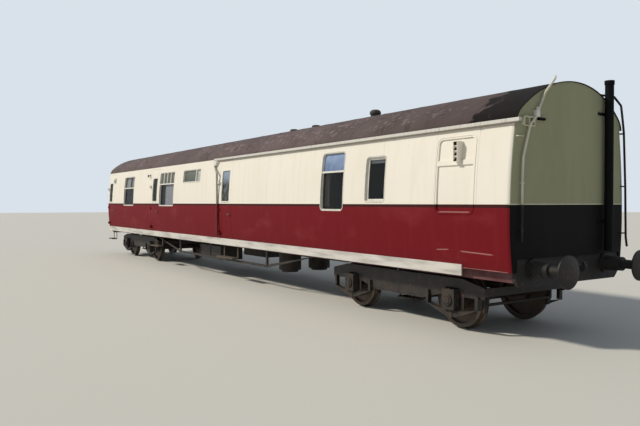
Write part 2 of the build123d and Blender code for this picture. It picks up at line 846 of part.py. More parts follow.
def sector(x, z, inner, outer, start, end):
    """A piece of a ring in X and Z, between two radii and two angles in degrees."""
    def at(radius, angle):
        return (x + radius * math.cos(math.radians(angle)), z + radius * math.sin(math.radians(angle)))

    middle = (start + end) / 2
    edges = [ThreePointArc(at(r, start), at(r, middle), at(r, end)) for r in (inner, outer)]
    edges += [Line(at(inner, a), at(outer, a)) for a in (start, end)]
    return make_face(edges)


def bogie_side(side):
    """A plated side frame with horn guides for two axleboxes and shoes for the springs' ends."""
    shoulder, ankle, belly = rail + 700, rail + 520, rail + 400
    corners = (
        (-frame_half_length, ankle), (-frame_half_length, shoulder), (-shoulder_x, frame_top),
        (shoulder_x, frame_top), (frame_half_length, shoulder), (frame_half_length, ankle), (ankle_x, ankle),
        (belly_x, belly), (-belly_x, belly), (-ankle_x, ankle),
    )
    outline = make_face(Polyline(*corners, close=True))
    outline = fillet(outline.vertices(), 35)
    slot_half = guide_half_gap + guide_thickness
    leg_top = frame_top - 100
    for axle in (-half_base, half_base):
        outline += Pos(axle, (guide_low + leg_top) / 2) * Rectangle(2 * slot_half + 180, leg_top - guide_low)
        outline -= Pos(axle, (guide_low + box_high) / 2) * Rectangle(2 * slot_half, box_high - guide_low + 40)
    plate = extrude(Plane.XZ * outline, amount=-plate_thickness)
    frame = Pos(0, plate_inner, 0) * plate
    flange_y = plate_inner - 75
    frame += block(-shoulder_x, shoulder_x, flange_y, plate_inner + 1, frame_top - 12, frame_top)
    frame += block(10 - belly_x, belly_x - 10, flange_y, plate_inner + 1, belly, belly + 12)
    for axle in (-half_base, half_base):
        for way in (-1, 1):
            x = axle + way * guide_half_gap
            edge = x + way * (guide_thickness + 2)
            frame += block(x, edge, journal_y - 60, journal_y + 15, guide_low, box_high + 10)
            shoe = axle + way * spring_half
            rise = spring_radius - math.sqrt(spring_radius**2 - (spring_half + shoe_half) ** 2)
            x0, x1 = shoe - shoe_half, shoe + shoe_half
            shoe_low = main_leaf_top + rise + fit
            frame += block(x0, x1, plate_inner - 10, journal_y + 42, shoe_low, rail + 560)
    return frame if side == LEFT else mirror(frame, Plane.XZ)


def leaf_spring():
    """A laminated spring in its buckle, about a point on the middle of its longest leaf's top."""
    stack = None
    for i in range(leaf_count):
        half = spring_half + 35 if i == 0 else spring_half * (1 - 0.11 * i)
        inner = spring_radius + i * leaf_thickness
        reach = math.degrees(half / inner)
        outline = sector(0, spring_radius, inner, inner + leaf_thickness, -90 - reach, -90 + reach)
        leaf = extrude(outline, amount=leaf_width / 2, both=True)
        stack = leaf if stack is None else stack + leaf
    spring = Rot(90, 0, 0) * stack
    half_buckle = leaf_width / 2 + 10
    top = box_low - main_leaf_top - fit
    return spring + block(-42, 42, -half_buckle, half_buckle, top - buckle_height, top)


def axlebox(side):
    """A box that slides between its horn guides, bored for the journal and closed by a round cover."""
    body = block(1 - guide_half_gap, guide_half_gap - 1, journal_y - 88, journal_y + 105, box_low, box_high)
    body -= rod((0, journal_y - 90, axle_z), (0, journal_y + 98, axle_z), journal_radius + 1)
    body += rod((0, journal_y + 104, axle_z), (0, journal_y + 130, axle_z), 92)
    body = fillet(body.edges().filter_by(GeomType.CIRCLE).group_by(Axis.Y)[-1], 8)
    for y in (journal_y - 80, journal_y + 18):
        rib = block(-162, 162, y, y + 16, axle_z - 110, axle_z + 120)
        body += rib - rod((0, y - 9, axle_z), (0, y + 20, axle_z), 70)
    return body if side == LEFT else mirror(body, Plane.XZ)


def brake_set(axle, way):
    """Two blocks on one side of an axle, with their hangers and the beam between them."""
    inner = tread_radius + block_gap
    outer = inner + block_thickness
    back = axle + way * (outer + 12)
    middle = 0 if way > 0 else 180
    beam = rod((back, -block_y, axle_z - 40), (back, block_y, axle_z - 40), 24)
    outward = way * axle > 0
    sign = 1 if axle > 0 else -1
    far = sign * (frame_half_length - 10 - end_rail - fit if outward else transom_outer + fit)
    level = rail + 640 if outward else rail + 740
    for side in (RIGHT, LEFT):
        y = side * block_y
        face = sector(axle, axle_z, inner, outer, middle - 20, middle + 20)
        beam += Pos(0, y, 0) * extrude(Plane.XZ * face, amount=block_width / 2, both=True)
        beam += block(back - way * 18, back + way * 10, y - 22, y + 22, axle_z - 60, level + 30)
        beam += block(back, far, y - 22, y + 22, level, level + 30)
    return beam


def make_bogie(letter, centre):
    """The pieces that turn with one bogie, apart from its wheelsets."""
    place = Pos(centre, 0, 0)
    sides = ((LEFT, bogie_side(LEFT)), (RIGHT, bogie_side(RIGHT)))
    save(f"bogie_sides_{letter}", *[place * frame for side, frame in sides])

    reach = plate_inner - fit
    rails = []
    for way in (-1, 1):
        low = rail + 560
        rails.append(block(way * transom_inner, way * transom_outer, -reach, reach, low, frame_top - 13))
        x = way * (frame_half_length - 10)
        rails.append(block(x, x - way * end_rail, -reach, reach, low, rail + 690))
    save(f"bogie_transoms_{letter}", *[place * bar for bar in rails])

    outline = ((-880, bearer_seat), (-880, bearer_seat - 130), (-560, bolster_bottom), (560, bolster_bottom))
    outline += ((880, bearer_seat - 130), (880, bearer_seat))
    beam = extrude(Plane.YZ * make_face(Polyline(*outline, close=True)), amount=bolster_half, both=True)
    beam += rod((0, 0, bearer_seat - 1), (0, 0, bolster_top), 2.5 * pivot_radius)
    beam -= rod((0, 0, pivot_low - 10), (0, 0, bolster_top + 1), pivot_radius + 1)
    for side in (RIGHT, LEFT):
        y = side * side_bearer_y
        beam += block(-90, 90, y - 60, y + 60, bearer_seat - 1, bolster_top)
    save(f"bogie_bolster_{letter}", place * beam)

    plank = block(-plank_half, plank_half, -850, 850, plank_low, plank_low + plank_thickness)
    for side in (RIGHT, LEFT):
        for way in (-1, 1):
            x, y = way * 160, side * 800
            plank += rod((x, y, plank_low + 5), (x, y, rail + 560 - fit), 15)
            y = side * (spring_y + way * 75)
            plank += rod((0, y, plank_low + 5), (0, y, bolster_bottom - fit), 62)
    save(f"spring_plank_{letter}", place * plank)

    boxes, leaves, brakes = [], [], []
    spring = leaf_spring()
    for axle in (-half_base, half_base):
        for side in (RIGHT, LEFT):
            boxes.append(Pos(centre + axle, 0, 0) * axlebox(side))
            leaves.append(Pos(centre + axle, side * journal_y, main_leaf_top) * spring)
        for way in (-1, 1):
            brakes.append(place * brake_set(axle, way))
    save(f"axleboxes_{letter}", *boxes)
    save(f"leaf_springs_{letter}", *leaves)
    save(f"brake_gear_{letter}", *brakes)


spring_y = 450


def wheel():
    """A disc wheel with its tyre, turned about Y, with its back at half the back-to-back distance."""
    back = back_to_back / 2
    face = back + tyre_width
    rim = tread_radius - tyre_depth
    profile = (
        (seat_radius + bore_gap, back - 14), (135, back - 14), (150, back + 52), (rim, back + 56), (rim, back),
        (flange_radius, back + 6), (flange_radius, back + 20), (tread_radius + 2, back + 40),
        (tread_radius - 3, face), (rim, face), (rim, back + 80), (150, back + 84), (135, face + 14),
        (seat_radius + bore_gap, face + 14),
    )
    return revolve(Plane.XY * make_face(Polyline(*profile, close=True)), axis=Axis.Y)


def make_wheelset(name, x):
    """An axle with a journal at each end and the two wheels pressed on it."""
    seat_start, seat_end = back_to_back / 2 - 16, back_to_back / 2 + tyre_width + 16
    axle = rod((0, -seat_end, 0), (0, seat_end, 0), seat_radius)
    waist_cut = rod((0, -seat_start, 0), (0, seat_start, 0), seat_radius + 1)
    axle -= waist_cut - rod((0, -seat_start, 0), (0, seat_start, 0), seat_radius - 8)
    axle += rod((0, -journal_y - 90, 0), (0, journal_y + 90, 0), journal_radius)
    disc = wheel()
    place = Pos(x, 0, axle_z)
    save(name, place * axle, place * disc, place * mirror(disc, Plane.XZ))


make_sides()
make_door_sills()
make_cantrails()
make_roof()
make_end_walls()
floor_bearers = make_floor()
headstock_face = make_underframe(floor_bearers)
make_windows()
make_plated_windows()
make_doors()
make_rainwater()
make_skirt_board()
make_roof_vents()
make_end_pipes()
make_vent_stack()
make_buffers(headstock_face)
make_draw_hooks(headstock_face)
make_trusses()
make_hung_equipment()
make_inside()
for bogie_letter, bogie_end in (("a", 1), ("b", -1)):
    make_bogie(bogie_letter, bogie_end * bogie_centre)
    for axle_number, axle_way in (("1", 1), ("2", -1)):
        axle_x = bogie_end * bogie_centre + axle_way * half_base
        make_wheelset(f"wheelset_{bogie_letter}{axle_number}", axle_x)
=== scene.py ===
# %% [markdown]
# # A two-tone passenger coach
# The coach is a steel body nearly twenty metres long on two bogies. Its frame, joints and panels arrive
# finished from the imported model. What is left for Blender is everything that the eye reads first: faded
# enamel, a weathered felt roof, sooty ironwork, glass, cloth, and the small trim that is too fine to be
# part of the construction. The script is read from top to bottom, one piece or one finish at a time.

# %% Load the frame
import math

import bmesh
import bpy
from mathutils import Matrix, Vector


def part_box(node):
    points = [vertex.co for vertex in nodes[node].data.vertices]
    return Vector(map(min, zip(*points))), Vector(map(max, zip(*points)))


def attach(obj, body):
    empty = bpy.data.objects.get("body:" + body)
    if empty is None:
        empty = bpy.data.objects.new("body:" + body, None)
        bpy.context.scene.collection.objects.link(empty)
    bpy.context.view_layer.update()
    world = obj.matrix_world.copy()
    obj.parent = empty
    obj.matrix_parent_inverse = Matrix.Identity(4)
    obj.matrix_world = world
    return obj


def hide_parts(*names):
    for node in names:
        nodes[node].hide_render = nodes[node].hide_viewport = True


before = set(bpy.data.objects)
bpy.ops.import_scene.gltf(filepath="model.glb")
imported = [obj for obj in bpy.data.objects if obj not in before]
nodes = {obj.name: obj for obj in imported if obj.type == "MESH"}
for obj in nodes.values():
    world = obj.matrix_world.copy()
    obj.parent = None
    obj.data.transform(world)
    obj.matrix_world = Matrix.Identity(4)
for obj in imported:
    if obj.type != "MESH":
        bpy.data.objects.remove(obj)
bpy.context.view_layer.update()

# %% [markdown]
# ## Heights that everything follows
# Railway heights are measured from the top of the rail, which lies one flange depth over the floor here.
# The paint changes colour at one height all round the coach, so that height is named once. The sides curve
# in above and below the waist and the ends are bowed, so two functions say where the skin is.

# %% Heights and places, in metres
RAIL = 0.028
SIDE_BOTTOM = RAIL + 1.016
WAIST = RAIL + 1.780
PAINT_LINE = RAIL + 1.955
CANTRAIL = RAIL + 3.112
HALF_WIDTH = 1.3715
RIGHT, LEFT = -1, 1
SIDES = (("right", RIGHT), ("left", LEFT))
ENDS = (("a", 1), ("b", -1))
UPPER_RADIUS, LOWER_RADIUS = 8.120, 4.894
END_X, BOW_RADIUS = 9.860, 15.70


def side_y(z):
    """How far out the side's skin is at a height: upright at the waist, curving in above and below it."""
    rise = z - WAIST
    radius = UPPER_RADIUS if rise > 0 else LOWER_RADIUS
    return HALF_WIDTH - radius + math.sqrt(radius**2 - rise**2)


def end_x(y):
    """How far along the bowed end's skin is at a place across it."""
    return END_X - BOW_RADIUS + math.sqrt(BOW_RADIUS**2 - y**2)


print("the side leans in by", round(HALF_WIDTH - side_y(CANTRAIL), 3), "m at the cantrail")

# %% [markdown]
# ## Colour and nodes
# Colours are written as they look on a screen, in sRGB hex, and one function turns them into the linear
# values that shaders use. A material could be clicked together in the editor. Written as a small graph it
# can be read, so a second helper adds one node, sets it up, links it and gives its output in a single line.


# %% Linear colour
def rgb(code):
    """A linear colour with alpha from an sRGB hex code."""
    channels = [int(code[i:i + 2], 16) / 255 for i in (0, 2, 4)]
    return [c / 12.92 if c <= 0.04045 else ((c + 0.055) / 1.055) ** 2.4 for c in channels] + [1]


print("middle grey 808080 is", round(rgb("808080")[0], 3), "in linear light")


# %% One node
def node(tree, kind, inputs=None, output=0, **settings):
    """Adds one shader node and gives its output. An input is a plain value, or another output to link."""
    new = tree.nodes.new("ShaderNode" + kind)
    for name, value in settings.items():
        setattr(new, name, value)
    for name, value in (inputs or {}).items():
        if isinstance(value, bpy.types.NodeSocket):
            tree.links.new(value, new.inputs[name])
        else:
            new.inputs[name].default_value = value
    return new.outputs[output]


def places(tree):
    """The piece's own coordinates, in metres, and their three numbers."""
    where = node(tree, "TexCoord", output="Object")
    return where, *node(tree, "SeparateXYZ", {0: where}).node.outputs


# %% Start and finish of a material
def material(name, roughness=0.5, **sockets):
    """A principled material with no pattern yet: the material, its tree and its shader node."""
    new = bpy.data.materials.new(name)
    new.use_nodes = True
    shader = new.node_tree.nodes["Principled BSDF"]
    shader.inputs["Roughness"].default_value = roughness
    for socket, value in sockets.items():
        shader.inputs[socket.replace("_", " ")].default_value = value
    print("finish:", name)
    return new, new.node_tree, shader


def surface(tree, shader, colour, height, depth):
    """Gives the shader its colour, and relief from a mask whose full step is depth metres."""
    relief = node(tree, "Bump", {"Height": height, "Distance": depth, "Strength": 1.0})
    tree.links.new(colour, shader.inputs["Base Color"])
    tree.links.new(relief, shader.inputs["Normal"])


# %% [markdown]
# ## Masks and coats
# A painter works in coats, and wear lets one colour show through another. A mask is a number from 0 to 1 that
# says where. Noise gives the uneven masks, and a step at a height or a place gives the straight ones. They
# could be painted on a picture, but a picture has to be stored and blurs close up, and numbers do neither.


# %% Uneven mask
def spots(tree, where, scale, low, high, detail=4.0, stretch=(1, 1, 1)):
    """An uneven mask of noise with scale features to a metre, so 5 makes them 200 mm long."""
    stretched = node(tree, "Mapping", {"Vector": where, "Scale": stretch})
    noise = node(tree, "TexNoise", {"Vector": stretched, "Scale": scale, "Detail": detail})
    return node(tree, "MapRange", {"Value": noise, "From Min": low, "From Max": high})


# %% Straight masks
def above(tree, value, level, soft=0.002):
    """A mask that is 1 over a level and 0 under it."""
    return node(tree, "MapRange", {"Value": value, "From Min": level - soft, "From Max": level + soft})


def both(tree, first, second):
    """A mask that is up only where two masks are."""
    return node(tree, "Math", {0: first, 1: second}, operation="MULTIPLY")


def between(tree, value, low, high, soft=0.002):
    """A mask that is 1 between two levels."""
    under = node(tree, "Math", {0: 1, 1: above(tree, value, high, soft)}, operation="SUBTRACT")
    return both(tree, above(tree, value, low, soft), under)


# %% Coat of colour
def coat(tree, under, over, mask, strength=1.0):
    """Lays one colour over another where a mask lets it through, no stronger than said."""
    if strength < 1:
        mask = both(tree, mask, strength)
    return node(tree, "Mix", {0: mask, 6: under, 7: over}, output=2, data_type="RGBA")


# %% [markdown]
# ## Coach enamel on the sides
# The body is steel sheet under brushed coach enamel, cream over crimson. Old gloss paint goes chalky, so its
# shine is weak and wide, and rain draws faint upright streaks 125 mm apart. Each panel could have a colour of
# its own, but one material that picks its colour by height keeps the paint line true across every gap. A dark
# band lies under the cream, lining together with a painted shadow under the cream's edge, and fine seams show
# where the steel sheets meet. The crimson is pale pink at its lower edge, rubbed paint together with a
# painted highlight on the lip, and where something scraped along it. A painted highlight in the same pink
# lies along the lit bottom ledge of the plated window. Real brush marks are a millimetre wide. Here they are
# 6 mm, because finer ones would not show.


# %% Thin pale line on the side
def line_on_side(tree, x, z, start, end, thickness):
    """A mask that is 1 along a thin line on the side. start and end are x and height over the rail."""
    slope = (end[1] - start[1]) / (end[0] - start[0])
    along = node(tree, "Math", {0: x, 1: start[0]}, operation="SUBTRACT")
    line = node(tree, "Math", {0: along, 1: slope, 2: RAIL + start[1]}, operation="MULTIPLY_ADD")
    off = node(tree, "Math", {0: z, 1: line}, operation="SUBTRACT")
    off = node(tree, "Math", {0: off}, operation="ABSOLUTE")
    far = above(tree, off, thickness / 2, thickness / 2)
    near = node(tree, "Math", {0: 1, 1: far}, operation="SUBTRACT")
    return both(tree, near, between(tree, x, start[0], end[0], 0.03))


# %% Two-tone enamel: colours with their fading
CREAM, CRIMSON, RUBBED_AND_LIT_PINK, LINING_AND_SHADOW_COLOUR = rgb("EEEAE1"), rgb("70131D"), rgb("B98A86"), rgb("2C1917")
LINE_HEIGHT = 0.048
enamel, tree, shader = material("coach enamel, gloss gone chalky", 0.6, Specular_IOR_Level=0.1)
where, x, y, z = places(tree)
streaks = spots(tree, where, 5.0, 0.50, 0.80, 5.0, (1.6, 1.6, 0.12))
chalk = spots(tree, where, 0.7, 0.35, 0.7, 3.0)
faded = spots(tree, where, 1.1, 0.54, 0.74, 4.0, (1, 1, 2.2))
cream = coat(tree, CREAM, rgb("D9D3C2"), streaks, 0.30)
cream = coat(tree, cream, rgb("E4DED0"), chalk, 0.30)
crimson = coat(tree, CRIMSON, rgb("6C1318"), chalk, 0.40)
crimson = coat(tree, crimson, rgb("9C4A4C"), faded, 0.22)
crimson = coat(tree, crimson, rgb("8E383A"), streaks, 0.14)

# %% Two-tone enamel: dirt, rubbed edge, scrapes and painted highlights
# Each line: where it starts and ends, as x and height over the rail, and its thickness. The first two are
# scrapes. The third is a painted highlight along the plated window's lit bottom ledge.
SCRAPES_AND_LIT_LEDGE = (
    ((8.400, 1.262), (8.634, 1.277), 0.012),
    ((8.898, 1.264), (9.480, 1.248), 0.014),
    ((8.450, 1.842), (9.070, 1.842), 0.014),
)
DIRT_TOP, DIRT_LOW, EDGE_WORN = RAIL + 1.22, RAIL + 1.0, 0.010
low_down = node(tree, "MapRange", {"Value": z, "From Min": DIRT_TOP, "From Max": DIRT_LOW})
low_dirt = both(tree, low_down, spots(tree, where, 9.0, 0.35, 0.7, 4.0))
crimson = coat(tree, crimson, rgb("4A2220"), low_dirt, 0.45)
# The lower edge is pale pink: rubbed paint, together with a painted highlight where the lip catches the
# light.
edge = between(tree, z, RAIL + 0.9, SIDE_BOTTOM + EDGE_WORN)
worn_and_lit_edge = both(tree, edge, spots(tree, where, 3.0, 0.3, 0.6, 4.0))
crimson = coat(tree, crimson, RUBBED_AND_LIT_PINK, worn_and_lit_edge, 0.8)
to_the_right = above(tree, node(tree, "Math", {0: y, 1: RIGHT}, operation="MULTIPLY"), 0)
for start, end, thickness in SCRAPES_AND_LIT_LEDGE:
    mark = both(tree, line_on_side(tree, x, z, start, end, thickness), to_the_right)
    crimson = coat(tree, crimson, RUBBED_AND_LIT_PINK, mark, 0.8)

# %% Two-tone enamel: paint line, seams and relief
SEAMS = (-8.35, -5.95, -2.42, -0.62, 1.86, 3.02, 4.385, 7.07, 8.345, 9.205)
SEAM_HALF = 0.003
on_cream = above(tree, z, PAINT_LINE)
paint = coat(tree, crimson, cream, on_cream)
# The dark band under the cream is lining together with a painted shadow under the cream's edge.
paint = coat(tree, paint, LINING_AND_SHADOW_COLOUR, between(tree, z, PAINT_LINE - LINE_HEIGHT, PAINT_LINE), 0.85)
seams = 0.0
for place in SEAMS:
    seam = between(tree, x, place - SEAM_HALF, place + SEAM_HALF, SEAM_HALF)
    seams = node(tree, "Math", {0: seams, 1: seam}, operation="MAXIMUM")
clearest = node(tree, "Math", {0: on_cream, 1: 0.15}, operation="ADD", use_clamp=True)
seams = both(tree, seams, clearest)
paint = coat(tree, paint, rgb("6A5A52"), seams, 0.35)
ripples = spots(tree, where, 1.3, 0.2, 0.8, 2.0)
brush_marks = spots(tree, where, 160, 0.2, 0.8, 2.0)
relief = node(tree, "Math", {0: brush_marks, 1: 0.02, 2: ripples}, operation="MULTIPLY_ADD")
relief = node(tree, "Math", {0: seams, 1: -0.4, 2: relief}, operation="MULTIPLY_ADD")
surface(tree, shader, paint, relief, 0.004)

# %% [markdown]
# ## Enamel on the ends
# The ends were repainted less often. Cream covers the upper half and matt black the lower, with green-grey
# algae in patches 0.6 m across and runs of soot 110 mm wide where they stay wet. The cream is laid darker and
# greener than the sides' cream, a painted shade over the dirt. The flat black drinks the light, so its
# highlight is weak. The side's paint was cut in round the corner. The wall could be split there, but a mask
# along the coach does the same, so the side's colours end where the corner has turned most of the way.

# %% End enamel
CUT_IN_X = 9.787
end_enamel, tree, shader = material("matt end enamel, weathered, with painted shade", 0.7, Specular_IOR_Level=0.12)
where, x, y, z = places(tree)
over_line = above(tree, z, PAINT_LINE)
algae = spots(tree, where, 1.6, 0.42, 0.68, 4.0, (1, 1, 0.45))
soot_runs = spots(tree, where, 6.0, 0.50, 0.8, 5.0, (1, 1.5, 0.2))
# Painted shade: the end's cream is darker and greener than the sides' cream, under its algae and soot.
cream = coat(tree, rgb("A2A487"), rgb("8E9076"), algae, 0.35)
cream = coat(tree, cream, rgb("7C7E68"), soot_runs, 0.16)
black = coat(tree, rgb("0C0B0A"), rgb("171412"), algae, 0.5)
end_paint = coat(tree, black, cream, over_line)
side_paint = coat(tree, CRIMSON, CREAM, over_line)
side_paint = coat(tree, side_paint, LINING_AND_SHADOW_COLOUR, between(tree, z, PAINT_LINE - LINE_HEIGHT, PAINT_LINE))
from_middle = node(tree, "Math", {0: x}, operation="ABSOLUTE")
paint = coat(tree, side_paint, end_paint, above(tree, from_middle, CUT_IN_X))
surface(tree, shader, paint, spots(tree, where, 1.5, 0.2, 0.8, 3.0), 0.004)

# %% [markdown]
# ## Roof felt
# The steel roof is covered with mineral felt in bitumen. It has gone purple-brown and nearly even, with
# pinkish flecks 100 mm apart in a band up the slope, lichen together with painted glints of light. It darkens
# towards the near end as painted shade, and its last metre is black, painted shade together with damp. Real
# grit is a millimetre across. Modelled stone by stone it would be millions of faces, so it is a relief, drawn
# 11 mm coarse because finer grit would not show. It scatters the light, so the finish is rough.

# %% Mineral felt
ROOF_TOP = RAIL + 3.744
felt, tree, shader = material("mineral roof felt, weathered, with painted shade", 0.95, Specular_IOR_Level=0.2)
where, x, y, z = places(tree)
patches = spots(tree, where, 1.1, 0.35, 0.65, 3.0)
# Pinkish flecks in a band up the slope: lichen together with painted glints of light.
lichen_and_glints = spots(tree, where, 10.0, 0.54, 0.66, 2.5)
groups = spots(tree, where, 1.0, 0.42, 0.55, 2.0)
up_the_slope = between(tree, z, ROOF_TOP - 0.48, ROOF_TOP - 0.10, 0.08)
flecks = both(tree, both(tree, lichen_and_glints, groups), up_the_slope)
grit = spots(tree, where, 90, 0.3, 0.7, 3.0)
colour = coat(tree, rgb("615556"), rgb("6D6162"), patches)
colour = coat(tree, colour, rgb("A8979A"), flecks, 0.5)
# Painted shade: the felt darkens towards the near end.
shade = node(tree, "MapRange", {"Value": x, "From Min": 4.0, "From Max": 9.0, "To Max": 0.42})
colour = coat(tree, colour, rgb("38302E"), shade)
colour = coat(tree, colour, rgb("463F3C"), grit, 0.20)
# The last metre is black: painted shade together with damp.
near_end = node(tree, "MapRange", {"Value": x, "From Min": 8.75, "From Max": 9.45})
ragged = spots(tree, where, 3.2, 0.35, 0.65, 4.0)
ragged = node(tree, "Math", {0: ragged, 1: 0.8, 2: near_end}, operation="MULTIPLY_ADD")
colour = coat(tree, colour, rgb("0F0C0C"), above(tree, ragged, 0.85, 0.12), 0.95)
relief = node(tree, "Math", {0: patches, 1: 1.5, 2: grit}, operation="MULTIPLY_ADD")
surface(tree, shader, colour, relief, 0.003)

# %% [markdown]
# ## Ironwork
# Below the floor everything is black paint or bare metal under brake dust, a brown powder that settles on
# upward faces and in corners. Each part could have its own graph, but the dirt is the same everywhere, so one
# function builds it and only the metal, the share of dust and the shine differ. Rust breaks through in spots
# about 45 mm apart, and the cast skin is drawn 14 mm coarse, which is as fine as the render shows.


# %% Iron under brake dust
def ironwork(name, base, dust, share, roughness=0.6, metallic=0.0):
    """Iron or steel with brown dust that gathers where the noise and the upward faces let it."""
    new, tree, shader = material(name, roughness, Metallic=metallic)
    where = node(tree, "TexCoord", output="Object")
    upward = node(tree, "SeparateXYZ", {0: node(tree, "NewGeometry", output="Normal")}, output="Z")
    upward = node(tree, "MapRange", {"Value": upward, "From Min": 0.2, "From Max": 1.0})
    settled = spots(tree, where, 6.0, 0.35, 0.7, 6.0)
    settled = node(tree, "Math", {0: settled, 1: upward}, operation="ADD", use_clamp=True)
    rust = spots(tree, where, 22.0, 0.60, 0.72, 5.0)
    colour = coat(tree, rgb(base), rgb(dust), settled, share)
    colour = coat(tree, colour, rgb("6B3A22"), rust, 0.5)
    surface(tree, shader, colour, spots(tree, where, 70.0, 0.2, 0.8, 4.0), 0.002)
    return new


# Brushed frame enamel: black, with a broad weak shine that the dust breaks up.
underframe = ironwork("black frame enamel under dust", "141211", "3E342B", 0.5)
# The same enamel at the ends, laid nearly black with darker, thinner dust, a painted shade.
end_iron_in_painted_shade = ironwork("black frame enamel, darkened as painted shade", "090808", "1D1916", 0.35, 0.7)
# Cast iron with its skin on: dark brown-grey and dull.
cast_iron = ironwork("cast iron, dusty", "191715", "483C32", 0.5, 0.7)
# Turned steel, worn by the rail: a grey shine under brown.
tyre_steel = ironwork("tyre steel, worn", "4A4541", "6A5240", 0.5, 0.5, 0.6)
# Machined steel under old grease: nearly black, partly a painted shade, with a soft metal gleam.
greased_steel_in_painted_shade = ironwork("buffer steel, greased, darkened as painted shade", "100F0E", "2A241F", 0.35, 0.5, 0.4)

# %% [markdown]
# ## Paint, timber, linoleum and pipe
# The smaller finishes all have one colour that wear has changed in patches, and a relief three times as fine
# as the patches. So a function takes the two colours, how strongly they mix and how many patches there are
# to a metre. Wood gets its grain from the same noise, stretched along the board.


# %% Finishes with their own wear
def finish(name, base, worn, share, scale, roughness, relief=0.001, stretch=(1, 1, 1), **sockets):
    """A finish of one colour with patches of wear, and relief three times as fine as the patches."""
    new, tree, shader = material(name, roughness, **sockets)
    where = node(tree, "TexCoord", output="Object")
    wear = spots(tree, where, scale, 0.4, 0.7, 5.0, stretch)
    colour = coat(tree, rgb(base), rgb(worn), wear, share)
    surface(tree, shader, colour, spots(tree, where, scale * 3, 0.2, 0.8, 4.0, stretch), relief)
    return new


# Brushed gloss: bright white with a clear soft shine, a little grey in patches 70 mm across.
white_gloss = finish("white gloss paint", "E9E7E0", "BDB8AA", 0.5, 14.0, 0.3)
# Brushed paint on a plank: dirty white, with long stains along the board.
white_board = finish("white painted board", "D3D1CC", "8F8C86", 0.75, 5.0, 0.6, 0.002, (0.3, 1, 2))
# Planed and varnished oak: warm brown, with upright grain 14 mm wide and a broad shine.
oak = finish("varnished oak", "7A5636", "54381F", 0.8, 6.0, 0.45, 0.001, (12, 12, 1))
# Sawn board, bare and wet for years: grey-brown, its grain 17 mm wide, with no shine.
step_wood = finish("weathered step board", "5E5348", "3B342D", 0.8, 5.0, 0.8, 0.002, (1, 12, 12))
# Rolled linoleum: an even brown that feet have polished.
lino = finish("brown linoleum", "4F443A", "3B332C", 0.6, 3.0, 0.4)
# Brushed frame paint: the sides' crimson, paled to a dusty rose-brown.
solebar_paint = finish("frame paint, faded crimson under dust", "552B30", "7A5D5D", 0.6, 4.0, 0.75)
# Drawn plastic pipe: flat black with hardly a highlight.
black_pipe = finish("matt black plastic pipe", "08080A", "121113", 0.6, 8.0, 0.75, Specular_IOR_Level=0.12)

# %% [markdown]
# ## Window glass
# The panes are old float glass. They mirror what is outside and carry a film of dust in patches 110 mm
# across. Refraction would make such thin sheets slow and noisy to render and bend nothing that the eye could
# see, so each pane is a smooth dark surface with an alpha of about a quarter, and the rest shows through.

# %% Glass
glass, tree, shader = material("window glass, thin float with a dusty film", 0.04, Alpha=0.24, IOR=1.5)
dust = spots(tree, node(tree, "TexCoord", output="Object"), 9.0, 0.45, 0.75, 5.0)
tree.links.new(coat(tree, rgb("15191A"), rgb("2E3433"), dust, 0.5), shader.inputs["Base Color"])

# %% [markdown]
# ## Paint on the pipes and the gutter
# The thin pipe, the gutter and the downpipe were painted in place, each in the colour of the wall behind
# it. Below the paint line the downpipe is crimson. Above it the downpipe is grey, wet stains together with a
# painted shade of its dark side and its shadow, and the gutter's underside is painted dark as shade. One pipe
# is one piece, so its colour changes with height, as the wall's does.
# Grime runs down it in streaks 55 mm wide, and the brush marks are drawn 17 mm coarse, because finer ones
# would not show.


# %% Paint that changes with height
def by_height(name, lowest, steps, roughness, side=None):
    """A paint in bands from the bottom up. steps are (height, colour), and side limits them to one side."""
    new, tree, shader = material(name, roughness, Specular_IOR_Level=0.25)
    where, x, y, z = places(tree)
    colour = rgb(lowest)
    for level, code in steps:
        colour = coat(tree, colour, rgb(code), above(tree, z, level))
    if side:
        on_side = above(tree, node(tree, "Math", {0: y, 1: side}, operation="MULTIPLY"), 0)
        colour = coat(tree, rgb(lowest), colour, on_side)
    grime = spots(tree, where, 18.0, 0.5, 0.75, 4.0, (1, 1, 0.3))
    colour = coat(tree, colour, rgb("6B675C"), grime, 0.3)
    surface(tree, shader, colour, spots(tree, where, 60.0, 0.2, 0.8, 2.0), 0.0006)
    return new


GUTTER_LOW, HOPPER_LOW = CANTRAIL - 0.052, CANTRAIL - 0.150
# Brushed paint on steel pipe: black below and cream above, slightly uneven under the light.
pipe_paint = by_height("brushed paint on steel pipe", "141314", ((PAINT_LINE, "D8D5C4"),), 0.55, RIGHT)
# Brushed gloss on sheet metal: a soft shine, grey where rain runs down it. The downpipe's grey band is also a
# painted shade of its dark side and shadow, and the dark band under the gutter is painted shade.
gutter_bands = (
    (PAINT_LINE, "A5A397"), (HOPPER_LOW, "F2F0EA"),
    (GUTTER_LOW - 0.003, "8F8A80"), (GUTTER_LOW + 0.022, "D3D2CD"),
)
gutter_paint = by_height("white paint on gutter and downpipe", "7A2A2C", gutter_bands, 0.45)

# %% [markdown]
# ## Dress the construction
# Each node of the imported model is already in place, so it only needs a finish. The names of the nodes
# say what they are. A table that lists the nodes under each finish is easier to check than a line for each.

